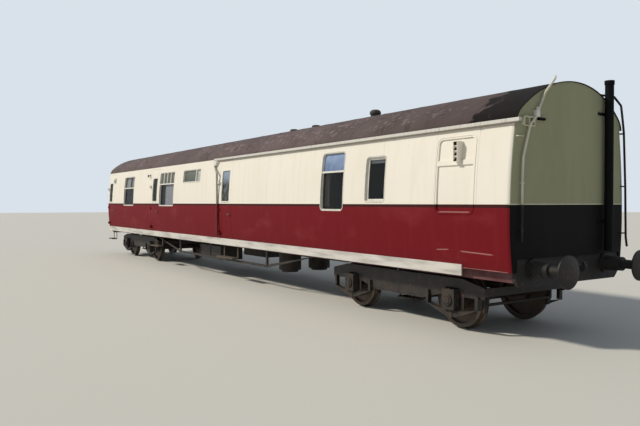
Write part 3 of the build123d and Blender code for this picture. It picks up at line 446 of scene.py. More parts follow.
# %% Finishes by node
FINISHES = (
    (enamel, ("side_right", "side_left", "cantrails", "door_sills", "plated_windows", "door_hinges")),
    (solebar_paint, ("solebars",)),
    (end_enamel, ("end_walls",)),
    (felt, ("roof",)),
    (white_gloss, ("window_frames",)),
    (glass, ("window_glass",)),
    (underframe, ("cross_members", "trusses", "battery_boxes")),
    (end_iron_in_painted_shade, ("headstocks", "buffer_housings", "draw_hooks")),
    (cast_iron, ("vacuum_cylinders", "roof_vents")),
    (greased_steel_in_painted_shade, ("buffer_heads",)),
    (gutter_paint, ("rainwater_goods",)),
    (white_board, ("skirt_board", "curtains")),
    (step_wood, ("footboards",)),
    (black_pipe, ("vent_stack",)),
    (pipe_paint, ("end_pipes",)),
    (oak, ("partitions", "bench_lockers")),
    (lino, ("floor",)),
)
dress = {name: finish_used for finish_used, names in FINISHES for name in names}
for letter, way in ENDS:
    for name in ("bogie_sides", "bogie_transoms"):
        dress[f"{name}_{letter}"] = underframe
    for name in ("bogie_bolster", "spring_plank", "axleboxes", "leaf_springs", "brake_gear"):
        dress[f"{name}_{letter}"] = cast_iron
    for number in "12":
        dress[f"wheelset_{letter}{number}"] = tyre_steel
for side_name, side in SIDES:
    for number in "123":
        dress[f"door_{side_name}_{number}"] = enamel
        dress[f"door_glass_{side_name}_{number}"] = glass
for name, finish_used in dress.items():
    nodes[name].data.materials.clear()
    nodes[name].data.materials.append(finish_used)
print("nodes without a finish:", sorted(set(nodes) - set(dress)))

# %% [markdown]
# ## Small shapes
# What follows is too fine for the construction: bolt heads, beads, straps, cloth. Each piece starts as an
# empty bmesh that operators fill, and one function closes it into an object that rides on its body. Round
# bars, blocks and bolts come up again and again, so each is a function that adds one more to a shape.


# %% Start and finish a piece
def piece(shape, name, finish_used, body="coach_body", smooth=35):
    """Turns a bmesh into an object at the origin that rides on a body. Edges over an angle stay sharp."""
    bmesh.ops.recalc_face_normals(shape, faces=shape.faces)
    mesh = bpy.data.meshes.new(name)
    shape.to_mesh(mesh)
    shape.free()
    mesh.polygons.foreach_set("use_smooth", [True] * len(mesh.polygons))
    mesh.set_sharp_from_angle(angle=math.radians(smooth))
    mesh.materials.append(finish_used)
    new = bpy.data.objects.new(name, mesh)
    bpy.context.scene.collection.objects.link(new)
    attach(new, body)
    print("piece:", name, "with", len(mesh.polygons), "faces")
    return new


# %% Join one shape to another
def join(shape, part):
    """Adds one finished bmesh to another."""
    mesh = bpy.data.meshes.new("part")
    part.to_mesh(mesh)
    part.free()
    shape.from_mesh(mesh)
    bpy.data.meshes.remove(mesh)


# %% Block
def block(shape, low, high, edge=0.0):
    """Adds a block between two corners, with its edges rounded."""
    low, high = Vector(map(min, low, high)), Vector(map(max, low, high))
    points = bmesh.ops.create_cube(shape, size=1)["verts"]
    bmesh.ops.scale(shape, vec=high - low, verts=points)
    bmesh.ops.translate(shape, vec=(low + high) / 2, verts=points)
    if edge:
        edges = {e for point in points for e in point.link_edges}
        bmesh.ops.bevel(
            shape, geom=list(edges), offset=edge, segments=2, profile=0.5, affect="EDGES", material=-1
        )


# %% Bar
def bar(shape, start, end, radius, sides=16, far_radius=None):
    """Adds a round bar, or a taper, from one point to another."""
    start, end = Vector(start), Vector(end)
    points = bmesh.ops.create_cone(
        shape, cap_ends=True, segments=sides, radius1=radius, radius2=far_radius or radius,
        depth=(end - start).length,
    )["verts"]
    turn = (end - start).to_track_quat("Z", "Y").to_matrix()
    bmesh.ops.rotate(shape, matrix=turn, verts=points)
    bmesh.ops.translate(shape, vec=(start + end) / 2, verts=points)


# %% Bolt or rivet
def bolt(shape, place, way, across=0.030, sides=6):
    """Adds a bolt head on its washer, or with many sides a rivet, standing on a face that points way."""
    place, way = Vector(place), Vector(way).normalized()
    if sides == 6:
        bar(shape, place - way * 0.002, place + way * 0.003, across * 0.75, 12)
        bar(shape, place, place + way * across * 0.62, across * 0.55, 6)
    else:
        bar(shape, place - way * 0.002, place + way * across * 0.3, across * 0.5, sides, across * 0.28)


# %% [markdown]
# ## Strips cut from a skin
# A bead covers the joint of the two colours on each bowed end, and the roof felt laps over itself once a
# metre. Both have to follow a curved surface exactly. They could be bent from straight strips, but the surest
# way is to take them from the surface itself: copy the node's mesh, cut it with planes, keep the faces that
# look outwards and give them a thickness.


# %% Strip from a node's skin
def strip(source, cuts, thickness, outward):
    """A thickened copy of the part of a node's skin that lies between planes. cuts are (place, way out)."""
    shape = bmesh.new()
    shape.from_mesh(nodes[source].data)
    bmesh.ops.remove_doubles(shape, verts=shape.verts, dist=1e-6)
    for place, way in cuts:
        everything = shape.verts[:] + shape.edges[:] + shape.faces[:]
        bmesh.ops.bisect_plane(shape, geom=everything, plane_co=place, plane_no=way, clear_outer=True)
    inner = [face for face in shape.faces if not outward(face.calc_center_median(), face.normal)]
    bmesh.ops.delete(shape, geom=inner, context="FACES")
    shape.normal_update()
    bmesh.ops.solidify(shape, geom=shape.faces[:], thickness=-thickness)
    return shape


# %% Bead across each end
# Brushed enamel on a half-round bead: a pale line that catches the light over the black.
end_bead_paint = finish("end enamel on the bead", "D6D3BA", "B4B292", 0.5, 9.0, 0.5)
BEAD_LOW, BEAD_HIGH, BEAD_PROUD, BEHIND_END = PAINT_LINE - 0.004, PAINT_LINE + 0.012, 0.004, 9.5
for letter, way in ENDS:
    cuts = (
        ((0, 0, BEAD_LOW), (0, 0, -1)),
        ((0, 0, BEAD_HIGH), (0, 0, 1)),
        ((way * BEHIND_END, 0, 0), (-way, 0, 0)),
    )
    bead = strip("end_walls", cuts, BEAD_PROUD, lambda place, normal: normal.x * way > 0.3)
    piece(bead, f"end_bead_{letter}", end_bead_paint)

# %% Laps in the felt
LAPS, FIRST_LAP, LAP_HALF, LAP_THICK = 19, -9.0, 0.012, 0.0025
laps = bmesh.new()
for i in range(LAPS):
    x = FIRST_LAP + i
    cuts = (((x - LAP_HALF, 0, 0), (-1, 0, 0)), ((x + LAP_HALF, 0, 0), (1, 0, 0)))
    lap = strip("roof", cuts, LAP_THICK, lambda place, normal: normal.z > 0.02 and place.z > CANTRAIL + 0.03)
    join(laps, lap)
piece(laps, "roof_felt_laps", felt)

# %% [markdown]
# ## The end with the pipes
# An open frame of flat bar on the bowed end holds the top of the thin pipe. Beside it are a black bracket on
# two bolts and the white junction box where the pipe goes over to the roof, and a strap holds the pipe lower
# down. All are blocks with a place across the end. Their depth comes from the bow, so each one seats on it.


# %% Block that stands on the bowed end
def block_on_end(shape, at, low, high, out, edge):
    """Adds a block on the end's skin at a place across it. low and high are its corners as y and z."""
    x = end_x(at)
    block(shape, (x - 0.005, *low), (x + out, *high), edge)


# %% Open frame and strap
FRAME_BARS, FRAME_LOW, FRAME_HIGH = (-1.150, -1.045, -0.938), RAIL + 3.035, RAIL + 3.155
FLAT, FRAME_OUT = 0.006, 0.050
bracket = bmesh.new()
x = end_x(FRAME_BARS[1])
for z in (FRAME_LOW, FRAME_HIGH):
    low, high = (x, FRAME_BARS[0] - FLAT, z - FLAT), (x + FRAME_OUT, FRAME_BARS[2] + FLAT, z + FLAT)
    block(bracket, low, high, 0.002)
for y in FRAME_BARS:
    low, high = (x - 0.020, y - FLAT, FRAME_LOW - 0.005), (x + 0.048, y + FLAT, FRAME_HIGH + 0.005)
    block(bracket, low, high, 0.002)
for y in (-1.10, -0.99):
    bolt(bracket, (x + FRAME_OUT, y, FRAME_HIGH), (0, 0, 1), 0.016)
block_on_end(bracket, -1.2, (-1.254, RAIL + 2.884), (-1.132, RAIL + 2.897), 0.032, 0.002)
piece(bracket, "pipe_bracket_a", end_bead_paint)

# %% Junction box and black bracket
BOX_Y, BOX_TOP = -0.887, RAIL + 3.262
junction = bmesh.new()
block_on_end(junction, BOX_Y, (-0.925, RAIL + 3.165), (-0.850, BOX_TOP), 0.060, 0.008)
x = end_x(BOX_Y) + 0.030
bar(junction, (x, -0.8875, BOX_TOP - 0.004), (x, -0.868, BOX_TOP + 0.038), 0.021)
piece(junction, "pipe_junction_a", white_gloss)
holder = bmesh.new()
block_on_end(holder, -0.777, (-0.850, RAIL + 3.128), (-0.705, RAIL + 3.162), 0.036, 0.003)
for y in (-0.83, -0.725):
    bolt(holder, (end_x(y) + 0.036, y, RAIL + 3.145), (1, 0, 0), 0.014)
piece(holder, "wall_bracket_a", black_pipe)

# %% [markdown]
# ## Window sills
# Each window has a bright white sill at the bottom of its opening, a little board whose top slopes so that
# rain runs clear. It could be an extruded profile. A block whose upper points are lifted towards the back
# gives the same wedge and keeps the rounded edges.

# %% Window sills
# Each window: centre, width, sill and head over the rail, corner radius, width of its sash.
WINDOWS = (
    (6.880, 0.558, 1.985, 2.790, 0.070, 0.060),
    (5.577, 0.762, 1.824, 2.945, 0.095, 0.028),
    (-1.410, 1.254, 2.550, 2.920, 0.040, 0.032),
    (-3.362, 1.249, 1.874, 2.920, 0.060, 0.030),
    (-7.165, 1.147, 1.873, 2.904, 0.060, 0.030),
)
SILL_LIFT, SILL_THICK, SILL_SLOPE, SILL_FRONT, SILL_BACK = 0.0145, 0.012, 0.012, 0.004, 0.043
for side_name, side in SIDES:
    sills = bmesh.new()
    for centre, width, low, high, corner, sash in WINDOWS:
        z = RAIL + low + SILL_LIFT
        front, back = side * (side_y(z) + SILL_FRONT), side * (side_y(z) - SILL_BACK)
        half = width / 2 - corner * 0.7
        first = len(sills.verts)
        block(sills, (centre - half, back, z), (centre + half, front, z + SILL_THICK), 0.003)
        sills.verts.ensure_lookup_table()
        for point in sills.verts[first:]:
            if point.co.z > z + SILL_THICK / 2:
                share = 1 - abs(point.co.y - back) / (SILL_FRONT + SILL_BACK)
                point.co.z += SILL_SLOPE * share
    piece(sills, f"window_sills_{side_name}", white_gloss)

# %% [markdown]
# ## Seals round the windows
# A dark line of old sealing compound runs round every frame where it meets the body, and a black rubber
# holds each sheet of glass. A bent tube could follow the opening, but a thin ring is closer to the real
# section: one face with its corners bevelled, inset to leave the rim, and pressed onto the curved side.


# %% Ring or sheet pressed onto the side
def ring(shape, side, centre, width, low, high, corner, rim, depth, thickness=0.0015, rows=12):
    """Adds a thin ring with rounded corners on the side's curve, depth behind the skin.

    With no rim it is a whole sheet, rounded at its top only.
    """
    flat = bmesh.new()
    points = bmesh.ops.create_grid(flat, x_segments=1, y_segments=1, size=0.5)["verts"]
    bmesh.ops.scale(flat, vec=(width, high - low, 1), verts=points)
    rounded = [point for point in flat.verts if rim or point.co.y > 0]
    bmesh.ops.bevel(
        flat, geom=rounded, offset=corner, segments=5, profile=0.5, affect="VERTICES", material=-1
    )
    if rim:
        bmesh.ops.inset_region(
            flat, faces=flat.faces[:], thickness=rim, use_boundary=True, use_even_offset=True
        )
        middle = max(flat.faces, key=lambda face: face.calc_area())
        bmesh.ops.delete(flat, geom=[middle], context="FACES")
    for cut in range(1, rows):
        height = (cut / rows - 0.5) * (high - low)
        everything = flat.verts[:] + flat.edges[:] + flat.faces[:]
        bmesh.ops.bisect_plane(flat, geom=everything, plane_co=(0, height, 0), plane_no=(0, 1, 0))
    for point in flat.verts:
        z = point.co.y + (low + high) / 2
        point.co = (point.co.x + centre, side * (side_y(z) - depth), z)
    bmesh.ops.recalc_face_normals(flat, faces=flat.faces)
    bmesh.ops.solidify(flat, geom=flat.faces[:], thickness=thickness)
    join(shape, flat)


# %% Frame seals and glazing rubbers
# Putty that has set hard: dark brown, cracked and dull.
seal_paint = finish("hardened sealing compound", "4A3F38", "2E2723", 0.6, 20.0, 0.8)
# Moulded rubber: nearly black, with a dull bloom.
rubber = finish("black glazing rubber", "1A1A1A", "2E2C29", 0.5, 30.0, 0.65)
SEAL_OUT, SEAL_RIM, RUBBER_RIM, RUBBER_DEPTH = 0.003, 0.006, 0.007, 0.0475
for side_name, side in SIDES:
    seals, rubbers = bmesh.new(), bmesh.new()
    for centre, width, low, high, corner, sash in WINDOWS:
        low, high = RAIL + low, RAIL + high
        outside = (centre, width + 2 * SEAL_OUT, low - SEAL_OUT, high + SEAL_OUT, corner)
        ring(seals, side, *outside, SEAL_RIM, -0.001)
        inside = (centre, width - 2 * sash, low + sash, high - sash, max(corner - sash, 0.010))
        ring(rubbers, side, *inside, RUBBER_RIM, RUBBER_DEPTH)
    piece(seals, f"frame_seals_{side_name}", seal_paint)
    piece(rubbers, f"glazing_rubbers_{side_name}", rubber)

# %% [markdown]
# ## Bead round the plated window
# One window on each side has been covered with a steel plate, and a flat bead hides the plate's edge. It is
# the same ring again, wider and standing proud of the skin, in the side's own enamel.

# %% Raised bead
# The plated window: centre, width, low, high, corner radius.
PLATED = (8.760, 0.800, RAIL + 1.802, RAIL + 2.978, 0.104)
PLATED_RIM, PLATED_PROUD, PLATED_THICK = 0.014, 0.007, 0.009
for side_name, side in SIDES:
    bead = bmesh.new()
    ring(bead, side, *PLATED, PLATED_RIM, -PLATED_PROUD, PLATED_THICK)
    piece(bead, f"plated_bead_{side_name}", enamel)

# %% [markdown]
# ## Obscured panes
# Some panes can't be seen through. The row of toplights is grey-green, and the washroom window is dark green
# with one whitish pane. The pale blue on the tall window's top light and the grey-blue on the middle door's
# pane are painted reflections. A film on the glass does all of that. The glass itself could be tinted, but
# then every pane would change, so each film is a thin sheet pressed onto its pane, mottled, and darker below
# as painted shade. The real grain is finer than a millimetre. Here it is 8 mm, because a finer one would not
# show.


# %% Film on the panes
def film(name, colour, darker, high, low):
    """A matt film on glass that goes from one colour at a height to a darker one at another, as painted
    shade.
    """
    new, tree, shader = material(name, 0.35, Specular_IOR_Level=0.35)
    where, x, y, z = places(tree)
    # Painted shade: the film darkens towards its lower edge.
    down = node(tree, "MapRange", {"Value": z, "From Min": RAIL + high, "From Max": RAIL + low})
    mottle = both(tree, spots(tree, where, 7.0, 0.3, 0.7, 3.0), 0.5)
    shade = node(tree, "Math", {0: down, 1: 0.7, 2: mottle}, operation="MULTIPLY_ADD", use_clamp=True)
    grain = spots(tree, where, 120.0, 0.3, 0.7, 2.0)
    surface(tree, shader, coat(tree, rgb(colour), rgb(darker), shade), grain, 0.0006)
    return new


# The pale blue film and the grey-blue door film are painted reflections.
blue_reflection_film = film("pale blue film, painted reflection", "94A8CC", "5F759B", 2.85, 2.58)
green_film = film("grey-green obscuring film", "7C827A", "565C55", 2.90, 2.58)
dark_film = film("dark green obscuring film", "696E60", "474B41", 2.90, 2.58)
white_film = film("whitish obscuring film", "C6CDCF", "A3ABA8", 2.90, 2.58)
door_reflection_film = film("grey-blue film, painted reflection", "9DADC4", "22241E", 2.62, 2.42)

# %% Sheets of film
WINDOW_DEPTH, DOOR_DEPTH, FILM_THICK = 0.0485, 0.0265, 0.001
# Each film: its piece, its finish, centre, width, low and high over the rail, corner radius, depth, body.
FILMS = (
    ("tall_window_reflection_film", blue_reflection_film, 5.577, 0.726, 2.572, 2.927, 0.076, WINDOW_DEPTH, "coach_body"),
    ("toplight_film", green_film, -3.362, 1.205, 2.562, 2.900, 0.040, WINDOW_DEPTH, "coach_body"),
    ("washroom_film", dark_film, -1.562, 0.870, 2.572, 2.898, 0.020, WINDOW_DEPTH, "coach_body"),
    ("washroom_end_film", white_film, -0.952, 0.290, 2.572, 2.898, 0.020, WINDOW_DEPTH, "coach_body"),
    ("door_reflection_film", door_reflection_film, 0.873, 0.432, 2.024, 2.786, 0.028, DOOR_DEPTH, "door_{}_1"),
)
for side_name, side in SIDES:
    for name, finish_used, centre, width, low, high, corner, depth, body in FILMS:
        sheet = bmesh.new()
        ring(sheet, side, centre, width, RAIL + low, RAIL + high, corner, 0, depth, FILM_THICK)
        piece(sheet, f"{name}_{side_name}", finish_used, body.format(side_name))

# %% [markdown]
# ## Rolled blinds
# The narrow window has a blind that is rolled right up, so only its long case shows behind the glass. A
# rolled sheet would never be seen, and one rounded block on each side is enough.

# %% Rolled blinds
# Coated cloth: pale blue-grey, smooth and dull.
blind_cloth = finish("coated blind cassette", "A9B4BC", "8D979F", 0.4, 20.0, 0.5)
BLIND_START, BLIND_END, BLIND_Z = 6.640, 7.120, RAIL + 2.700
blinds = bmesh.new()
for side_name, side in SIDES:
    near, far = side * (side_y(BLIND_Z) - 0.072), side * (side_y(BLIND_Z) - 0.112)
    block(blinds, (BLIND_START, near, BLIND_Z - 0.03), (BLIND_END, far, BLIND_Z + 0.05), 0.01)
piece(blinds, "rolled_blinds", blind_cloth)

# %% [markdown]
# ## Sills on the doors
# A narrow white sill stands out under each door's pane and throws a shadow on the paint. Its place is read
# from the pane's own box, so it fits whatever door it is on, and it rides on the door.

# %% Sills under the door windows
DOOR_SILL_GAP, DOOR_SILL_END, DOOR_SILL_THICK = 0.012, 0.012, 0.016
for side_name, side in SIDES:
    for number in "123":
        low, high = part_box(f"door_glass_{side_name}_{number}")
        z = low[2] - DOOR_SILL_GAP
        back, front = side * (side_y(z) - 0.004), side * (side_y(z) + 0.014)
        start, end = low[0] - DOOR_SILL_END, high[0] + DOOR_SILL_END
        sill = bmesh.new()
        block(sill, (start, back, z - DOOR_SILL_THICK), (end, front, z), 0.004)
        piece(sill, f"door_sill_{side_name}_{number}", white_gloss, f"door_{side_name}_{number}")

# %% [markdown]
# ## Lamps beside the doors
# Two lamps stand out near the far doors. One is a short hooded lantern on a bracket: its hood is a cone
# frustum and its body a squat cylinder, both from the bar function. The other is a round bulkhead lamp as
# wide as a plate. Its bowl of opal glass could be spun from a profile, but a sphere pressed flat is the same.

# %% Hooded lantern
# Sprayed enamel: mid grey with a half shine.
lamp_paint = finish("grey enamel on a lamp", "6E706C", "464643", 0.5, 30.0, 0.45)
x, z = -4.93, RAIL + 2.86
y = -side_y(z)
lamp_y = y - 0.075
lamp = bmesh.new()
block(lamp, (x - 0.035, y - 0.008, z - 0.05), (x + 0.035, y + 0.002, z + 0.05), 0.003)
bar(lamp, (x, y, z + 0.02), (x, lamp_y, z + 0.02), 0.009, 10)
bar(lamp, (x, lamp_y, z - 0.045), (x, lamp_y, z + 0.015), 0.027, 16)
bar(lamp, (x, lamp_y, z + 0.014), (x, lamp_y, z + 0.04), 0.042, 20, 0.012)
piece(lamp, "door_lamp", lamp_paint)

# %% Bulkhead lamp
# Blown opal glass: milky, with a soft broad highlight.
opal = finish("opal lamp glass", "C3CCC4", "98A096", 0.5, 18.0, 0.35)
BOWL_RADIUS, SCREW_RADIUS = 0.095, 0.104
x, z = -8.93, RAIL + 2.81
y = -side_y(z)
rim, bowl = bmesh.new(), bmesh.new()
bar(rim, (x, y + 0.006, z), (x, y - 0.030, z), 0.118, 36, 0.110)
for turn in range(3):
    angle = math.radians(90 + 120 * turn)
    across, up = SCREW_RADIUS * math.cos(angle), SCREW_RADIUS * math.sin(angle)
    bolt(rim, (x + across, y - 0.028, z + up), (0, -1, 0), 0.012)
points = bmesh.ops.create_uvsphere(bowl, u_segments=36, v_segments=18, radius=BOWL_RADIUS)["verts"]
bmesh.ops.scale(bowl, vec=(1, 0.55, 1), verts=points)
bmesh.ops.translate(bowl, vec=(x, y - 0.026, z), verts=points)
piece(rim, "bulkhead_lamp_rim", white_gloss)
piece(bowl, "bulkhead_lamp_bowl", opal)

# %% [markdown]
# ## Rainwater head and downpipe
# The gutter empties into a small hopper, and a pipe 52 mm across takes the water down beside the middle door.
# The pipe's route has one swan neck. A swept curve would round its bends, but such pipes are cut and
# socketed, so each straight length is a bar, a sphere closes each bend, and short wider bars make the sockets
# and clips. The construction's thinner pipe lies hidden inside it.

# %% Rainwater head
OUTLET_X = 0.190
head = bmesh.new()
y = -side_y(GUTTER_LOW) - 0.002
low, high = (OUTLET_X - 0.062, y, GUTTER_LOW - 0.115), (OUTLET_X + 0.165, y - 0.078, GUTTER_LOW + 0.006)
block(head, low, high, 0.006)
for point in head.verts:
    if point.co.z < GUTTER_LOW - 0.06:
        point.co.x = OUTLET_X + (point.co.x - OUTLET_X) * 0.45
piece(head, "rainwater_head", white_gloss)

# %% Outer downpipe
PIPE_RADIUS, SOCKET_PROUD, DROP_X = 0.026, 0.0022, 0.470
BEND_Z = CANTRAIL - 0.210
outlet_y, drop_y = -side_y(BEND_Z) - 0.028, -HALF_WIDTH - 0.0275
route = (
    (OUTLET_X, outlet_y, HOPPER_LOW - 0.010), (OUTLET_X, outlet_y, BEND_Z),
    (DROP_X, drop_y, CANTRAIL - 0.380), (DROP_X, drop_y, RAIL + 1.120),
)
# Each socket or clip: its height, and half its length.
COLLARS = (
    (CANTRAIL - 0.44, 0.030), (RAIL + 2.450, 0.012), (RAIL + 1.900, 0.030), (RAIL + 1.250, 0.012),
)
downpipe = bmesh.new()
for start, end in zip(route, route[1:]):
    bar(downpipe, start, end, PIPE_RADIUS, 24)
for bend in route[1:3]:
    points = bmesh.ops.create_uvsphere(downpipe, u_segments=24, v_segments=12, radius=PIPE_RADIUS)["verts"]
    bmesh.ops.translate(downpipe, vec=bend, verts=points)
for z, half in COLLARS:
    bar(downpipe, (DROP_X, drop_y, z - half), (DROP_X, drop_y, z + half), PIPE_RADIUS + SOCKET_PROUD, 24)
piece(downpipe, "outer_downpipe", gutter_paint)

# %% [markdown]
# ## Gutter unions
# The gutter comes in lengths of a little under two metres, and a short sleeve round its face and underside
# joins each one to the next. Two thin blocks make a sleeve, and a loop sets one at every joint.

# %% Gutter unions
UNIONS, FIRST_UNION, UNION_PITCH, UNION_HALF = 5, 1.6, 1.9, 0.035
GUTTER_TOP = CANTRAIL + 0.020
gutter_face = -side_y(CANTRAIL) - 0.050
union_face = gutter_face - 0.008
unions = bmesh.new()
for i in range(UNIONS):
    x = FIRST_UNION + UNION_PITCH * i
    start, end = x - UNION_HALF, x + UNION_HALF
    block(unions, (start, union_face, GUTTER_LOW + 0.012), (end, gutter_face, GUTTER_TOP - 0.014), 0.003)
    low, high = (start, union_face, GUTTER_LOW - 0.001), (end, gutter_face + 0.045, GUTTER_LOW + 0.006)
    block(unions, low, high, 0.002)
piece(unions, "gutter_unions", gutter_paint)

# %% [markdown]
# ## Curtains
# Short cotton curtains hang from wires: a pair over the bedroom's top panes, one across most of the saloon's
# lower pane, and one long curtain drawn back at the side of the tall window. Gathered cloth falls in upright
# folds that start small at the heading and open towards the hem. A cloth simulation could find them, but so
# close to the glass only the regular folds show, so each curtain is a fine grid whose depth follows sums of
# unlike waves, then gets its thickness. Real threads are a third of a millimetre apart. Here they are 2 mm,
# because finer ones would not show.


# %% Cotton
def cotton(name, base, worn):
    """Plain woven cotton: upright slubs in its colour, fine threads across it and a soft bloom of light."""
    new, tree, shader = material(name, 0.85, Specular_IOR_Level=0.2, Sheen_Weight=0.2)
    where = node(tree, "TexCoord", output="Object")
    slubs = spots(tree, where, 60.0, 0.3, 0.7, 3.0, (1, 1, 0.2))
    threads = node(tree, "TexWave", {"Vector": where, "Scale": 160.0}, output="Fac", bands_direction="Z")
    surface(tree, shader, coat(tree, rgb(base), rgb(worn), slubs, 0.4), threads, 0.0004)
    return new


white_cotton = cotton("white cotton net, plain weave", "F0F2F4", "D5DAE0")
blue_cotton = cotton("pale blue cotton, plain weave", "EDF0FA", "CBD2E6")
brown_cotton = cotton("grey-brown cotton, plain weave", "6A645C", "524D47")

# %% How a curtain hangs
COLUMNS_PER_METRE, ROWS_PER_METRE = 260, 24
HANG_DEPTH, FOLD_DEPTH, CLOTH_THICK = 0.0855, 0.0115, 0.0012
WIRE_RADIUS, EYE_RADIUS, WIRE_END, EYE_DEPTH = 0.004, 0.006, 0.03, 0.066


def curtain(name, side, near, far, low, high, waves, cloth_used):
    """A gathered curtain with its wire, between two places along the side and two heights."""
    cloth = bmesh.new()
    columns, rows = int((far - near) * COLUMNS_PER_METRE), int((high - low) * ROWS_PER_METRE)
    bmesh.ops.create_grid(cloth, x_segments=columns, y_segments=rows, size=0.5)
    for point in cloth.verts:
        along, up = point.co.x + 0.5, point.co.y + 0.5
        x, z = near + (far - near) * along, low + (high - low) * up
        open_out = 0.6 + 0.4 * min(1, (1 - up) * 3)
        fold = 0.75 * math.sin(x * waves + 1.3 * math.sin(x * 17))
        fold += 0.25 * math.sin(x * 61 + 2 + 0.8 * (1 - up))
        depth = HANG_DEPTH + FOLD_DEPTH * fold * open_out
        sway, hem = 0.004 * math.sin(x * 40) * (1 - up), 0.004 * math.sin(x * 46) * (1 - up)
        point.co = (x + sway, side * (side_y(z) - depth), z + hem)
    area = sum(face.calc_area() for face in cloth.faces)
    bmesh.ops.solidify(cloth, geom=cloth.faces[:], thickness=CLOTH_THICK)
    hung = piece(cloth, name, cloth_used, smooth=80)
    wire = bmesh.new()
    y, eye_y, z = side * (side_y(high) - HANG_DEPTH), side * (side_y(high) - EYE_DEPTH), high + 0.001
    bar(wire, (near - WIRE_END, y, z), (far + WIRE_END, y, z), WIRE_RADIUS, 8)
    for x in (near - WIRE_END, far + WIRE_END):
        bar(wire, (x, y, z), (x, eye_y, z), EYE_RADIUS, 8)
    rail = piece(wire, f"{name}_wire", greased_steel_in_painted_shade)
    return hung


# %% All the curtains
# Each curtain: its piece, where it starts and ends, its hem and heading, waves in the folds, its cloth.
CURTAINS = (
    ("bedroom_net_1", -7.765, -7.255, 2.555, 2.925, 140, white_cotton),
    ("bedroom_net_2", -7.075, -6.565, 2.555, 2.925, 140, white_cotton),
    ("saloon_curtain", -3.635, -2.710, 1.930, 2.560, 140, blue_cotton),
    ("drawn_curtain", 5.170, 5.415, 1.930, 2.920, 190, brown_cotton),
)
hangings = [
    curtain(f"{name}_{side_name}", side, *places_and_cloth)
    for side_name, side in SIDES for name, *places_and_cloth in CURTAINS
]
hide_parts("curtains")
print("curtains:", len(hangings))

# %% [markdown]
# ## Bolts and rivets below the floor
# The frame is riveted and the fittings are bolted on. Rivets are round heads about 20 mm across in straight
# rows, and bolts are hexagons on a washer, so two sizes of one small shape cover the whole underframe. They
# could be a bump in the paint, but real heads catch the light along their edges.

# %% Headstocks and buffers
RIVET_HEAD, RIVET_SIDES = 0.022, 10
HEADSTOCK_X, FLANGE_X, FIRST_RIVET_Y, RIVET_PITCH = 9.790, 9.8183, 0.16, 0.2
BUFFER_Y, BUFFER_Z, FLANGE_BOLTS = 0.87, RAIL + 1.054, 0.128
for letter, way in ENDS:
    heads = bmesh.new()
    for side_name, side in SIDES:
        for turn in range(4):
            angle = math.radians(45 + 90 * turn)
            across, up = FLANGE_BOLTS * math.cos(angle), FLANGE_BOLTS * math.sin(angle)
            bolt(heads, (way * FLANGE_X, side * BUFFER_Y + across, BUFFER_Z + up), (way, 0, 0), 0.028)
        for z in (RAIL + 0.85, RAIL + 1.165):
            for i in range(6):
                y = side * (FIRST_RIVET_Y + RIVET_PITCH * i)
                bolt(heads, (way * HEADSTOCK_X, y, z), (way, 0, 0), RIVET_HEAD, RIVET_SIDES)
    piece(heads, f"headstock_bolts_{letter}", end_iron_in_painted_shade)

# %% Solebars
RIVETS, FIRST_RIVET_X, RIVET_STEP, SOLEBAR_FACE = 48, -9.4, 0.4, 1.190
for side_name, side in SIDES:
    rivets = bmesh.new()
    for i in range(RIVETS):
        for z in (RAIL + 0.905, RAIL + 1.040):
            place = (FIRST_RIVET_X + RIVET_STEP * i, side * SOLEBAR_FACE, z)
            bolt(rivets, place, (0, side, 0), RIVET_HEAD, RIVET_SIDES)
    piece(rivets, f"solebar_rivets_{side_name}", solebar_paint)

# %% [markdown]
# ## Axleboxes and bogie frames
# Each axlebox has a round front cover held by four bolts, with a filler cap over it. Rivets follow the top
# and bottom edges of the plate frames and leave gaps at the axles. They could be placed one by one, but they
# are evenly spaced, so a loop sets them. All of them ride on their bogie.

# %% Axlebox covers and bogie rivets
BOGIE_X, HALF_BASE, AXLE_Z = 7.085, 1.295, RAIL + 0.457
BOX_FACE, FRAME_FACE, COVER_RADIUS, COVER_BOLTS = 1.120, 0.985, 0.058, 0.072
TOP_ROW, TOP_HALF, LOW_ROW, LOW_HALF, AXLE_GAP = 22, 1.42, 9, 0.56, 0.27
for letter, way in ENDS:
    covers, rivets = bmesh.new(), bmesh.new()
    centre = way * BOGIE_X
    for side_name, side in SIDES:
        front, skin = side * BOX_FACE, side * FRAME_FACE
        for x in (centre + HALF_BASE, centre - HALF_BASE):
            back, face = front - side * 0.004, front + side * 0.010
            bar(covers, (x, back, AXLE_Z), (x, face, AXLE_Z), COVER_RADIUS, 28)
            for turn in range(4):
                angle = math.radians(45 + 90 * turn)
                along, up = COVER_BOLTS * math.cos(angle), COVER_BOLTS * math.sin(angle)
                bolt(covers, (x + along, front, AXLE_Z + up), (0, side, 0), 0.018)
            bar(covers, (x, side * 1.06, AXLE_Z + 0.168), (x, side * 1.06, AXLE_Z + 0.186), 0.022, 14)
        for i in range(TOP_ROW):
            x = centre - TOP_HALF + 2 * TOP_HALF * i / (TOP_ROW - 1)
            if abs(abs(x - centre) - HALF_BASE) > AXLE_GAP:
                bolt(rivets, (x, skin, RAIL + 0.775), (0, side, 0), RIVET_HEAD, RIVET_SIDES)
        for i in range(LOW_ROW):
            x = centre - LOW_HALF + 2 * LOW_HALF * i / (LOW_ROW - 1)
            bolt(rivets, (x, skin, RAIL + 0.43), (0, side, 0), RIVET_HEAD, RIVET_SIDES)
    piece(covers, f"axlebox_covers_{letter}", cast_iron, f"bogie_{letter}")
    piece(rivets, f"bogie_rivets_{letter}", underframe, f"bogie_{letter}")

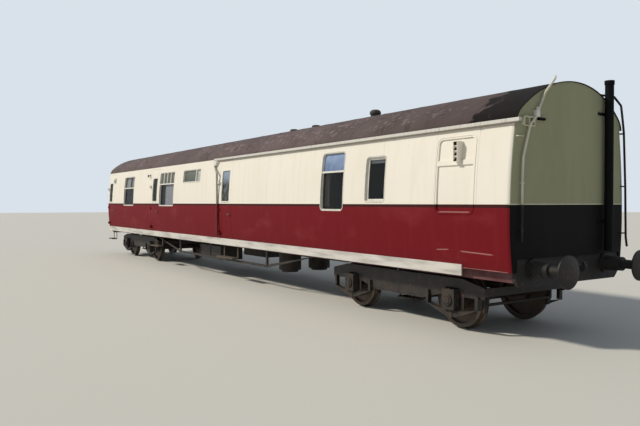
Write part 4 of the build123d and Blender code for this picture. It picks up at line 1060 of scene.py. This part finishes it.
# %% [markdown]
# ## Faces that take a second finish
# Three finishes lie on parts of a node's mesh. The louvred box on each plated window is dark brown inside, a
# painted shade in its louvres, the backs of the doors and the inner faces of the sides are lined with board
# in warm buff, and the doors' T-handles are worn bronze. The faces could be picked by hand in the editor, but
# their numbers change each time model.glb is made, so a test on each face's place picks them instead.


# %% Second finish on some of a node's faces
def refinish(name, finish_used, chosen):
    """Gives the faces of a node that pass a test another finish."""
    mesh = nodes[name].data
    mesh.materials.append(finish_used)
    slot = len(mesh.materials) - 1
    faces = [face for face in mesh.polygons if chosen(face)]
    for face in faces:
        face.material_index = slot
    print(name, "has", len(faces), "faces in", finish_used.name)


# %% Painted shade in the vent boxes
# Painted shade inside the louvres: dark brown on rough paint, with no shine at all.
vent_box_shade = finish("painted shade in the vent box", "4A3F37", "2E2722", 0.6, 30.0, 0.9)
VENT_X, VENT_HALF, VENT_LOW, VENT_HIGH = 8.830, 0.038, RAIL + 2.588, RAIL + 2.884
VENT_DEPTH, FRONT_THICK = 0.092, 0.030
VENT_FACE = side_y((VENT_LOW + VENT_HIGH) / 2) + VENT_DEPTH


def in_vent_box(face):
    """Whether a face lies inside the louvred box, behind its front."""
    x, y, z = face.center
    depth = VENT_FACE - abs(y)
    return abs(x - VENT_X) < VENT_HALF and VENT_LOW < z < VENT_HIGH and FRONT_THICK < depth < VENT_DEPTH


refinish("plated_windows", vent_box_shade, in_vent_box)

# %% Buff lining, and bronze on the handles
# Brushed paint on board: a warm buff, half dull, with long upright strokes.
lining = finish("buff paint on lining board", "C8BB9B", "A89A7A", 0.5, 4.0, 0.55, 0.001, (3, 3, 0.4))
# Cast bronze that hands have polished: brown-gold, with a real metal's shine.
bronze = finish("worn bronze door handle", "8A6B3C", "5C4A30", 0.6, 40.0, 0.35, Metallic=0.9)
HANDLE_Z, HANDLE_HALF, PROUD, BEHIND = RAIL + 1.690, 0.09, 0.004, 0.015


def looks_in(face):
    """Whether a face looks into the coach from behind the skin."""
    x, y, z = face.center
    return face.normal.y * math.copysign(1, y) < -0.8 and side_y(z) - abs(y) > BEHIND


def on_handle(face):
    """Whether a face stands clear of the skin at the handle's height."""
    x, y, z = face.center
    return abs(y) - side_y(z) > PROUD and abs(z - HANDLE_Z) < HANDLE_HALF


for side_name, side in SIDES:
    refinish(f"side_{side_name}", lining, looks_in)
    for number in "123":
        refinish(f"door_{side_name}_{number}", lining, looks_in)
        refinish(f"door_{side_name}_{number}", bronze, on_handle)

# %% [markdown]
# ## Thresholds
# An open door would show the gap between the sill and the floor. A kick plate closes it, and a worn bronze
# tread with four rows of ribs covers the edge of the floor. Both are plain blocks, placed from each door's
# own box, and both lie clear of the door's swing.

# %% Kick plates and treads
PLATE_HALF, KICK_FRONT, KICK_BACK, TREAD_FRONT, TREAD_BACK = 0.335, 0.1045, 0.1105, 0.092, 0.190
KICK_LOW, KICK_HIGH = SIDE_BOTTOM + 0.0585, RAIL + 1.2068
TREAD_LOW, TREAD_HIGH, RIB_LOW, RIB_HIGH = RAIL + 1.2573, RAIL + 1.2603, RAIL + 1.2600, RAIL + 1.2622
for side_name, side in SIDES:
    kicks, treads = bmesh.new(), bmesh.new()
    for number in "123":
        low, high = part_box(f"door_{side_name}_{number}")
        x = (low[0] + high[0]) / 2
        start, end = x - PLATE_HALF, x + PLATE_HALF
        near, far = side * (HALF_WIDTH - KICK_FRONT), side * (HALF_WIDTH - KICK_BACK)
        block(kicks, (start, near, KICK_LOW), (end, far, KICK_HIGH))
        near, far = side * (HALF_WIDTH - TREAD_FRONT), side * (HALF_WIDTH - TREAD_BACK)
        block(treads, (start, near, TREAD_LOW), (end, far, TREAD_HIGH), 0.001)
        for row in range(4):
            y = near - side * (0.014 + 0.022 * row)
            low, high = (start + 0.01, y, RIB_LOW), (end - 0.01, y - side * 0.006, RIB_HIGH)
            block(treads, low, high, 0.001)
    piece(kicks, f"kick_plates_{side_name}", underframe)
    piece(treads, f"door_treads_{side_name}", bronze)

# %% [markdown]
# ## Floor, backdrop, light and camera
# The studio is plain: a pale floor, an even pale surround, one broad soft sun over the lit side, and a camera
# two metres over the rail, close to one end, looking along the side. The surround could light the coach as
# brightly as it looks, but that would wash out the sun, so a light path gives the camera and reflections one
# brightness and everything else a third of it.

# %% Studio floor
FLOOR_SIZE = 120
ground = bmesh.new()
bmesh.ops.create_grid(ground, x_segments=1, y_segments=1, size=FLOOR_SIZE)
mesh = bpy.data.meshes.new("studio_floor")
ground.to_mesh(mesh)
ground.free()
studio_floor = bpy.data.objects.new("studio_floor", mesh)
bpy.context.scene.collection.objects.link(studio_floor)
floor_paint, tree, shader = material("pale studio floor", 0.9)
shader.inputs["Base Color"].default_value = rgb("D6D5D0")
mesh.materials.append(floor_paint)

# %% Surround and sun
world = bpy.data.worlds.new("studio")
bpy.context.scene.world = world
world.use_nodes = True
tree = world.node_tree
dim = node(tree, "Background", {"Color": rgb("D8E2EC"), "Strength": 0.34})
seen = node(tree, "Background", {"Color": rgb("D9E2EA"), "Strength": 1.0})
rays = node(tree, "LightPath").node.outputs
direct = rays["Is Camera Ray"]
for name in ("Is Transmission Ray", "Is Glossy Ray"):
    direct = node(tree, "Math", {0: direct, 1: rays[name]}, operation="MAXIMUM")
surround = node(tree, "MixShader", {0: direct, 1: dim, 2: seen})
tree.links.new(surround, tree.nodes["World Output"].inputs["Surface"])

sun = bpy.data.objects.new("sun", bpy.data.lights.new("sun", "SUN"))
sun.data.energy = 2.85
sun.data.angle = math.radians(6)
sun.data.color = rgb("FFF6E6")[:3]
sun.rotation_euler = Vector((0.42, 0.66, -0.62)).to_track_quat("-Z", "Y").to_euler()
bpy.context.scene.collection.objects.link(sun)

# %% Camera
CAMERA_PLACE = Vector((15.412, -8.219, 1.980 + RAIL))
YAW, PITCH = math.radians(56.14), math.radians(-0.94)
camera = bpy.data.objects.new("camera", bpy.data.cameras.new("camera"))
camera.data.lens = 35.30
camera.data.sensor_width = 36
camera.data.clip_end = 500
camera.location = CAMERA_PLACE
camera.rotation_euler = (math.pi / 2 + PITCH, 0, YAW)
bpy.context.scene.collection.objects.link(camera)
bpy.context.scene.camera = camera
bpy.context.scene.view_settings.view_transform = "Standard"
print("the camera is", round((CAMERA_PLACE - Vector((END_X, 0, WAIST))).length, 1), "m from the near end")
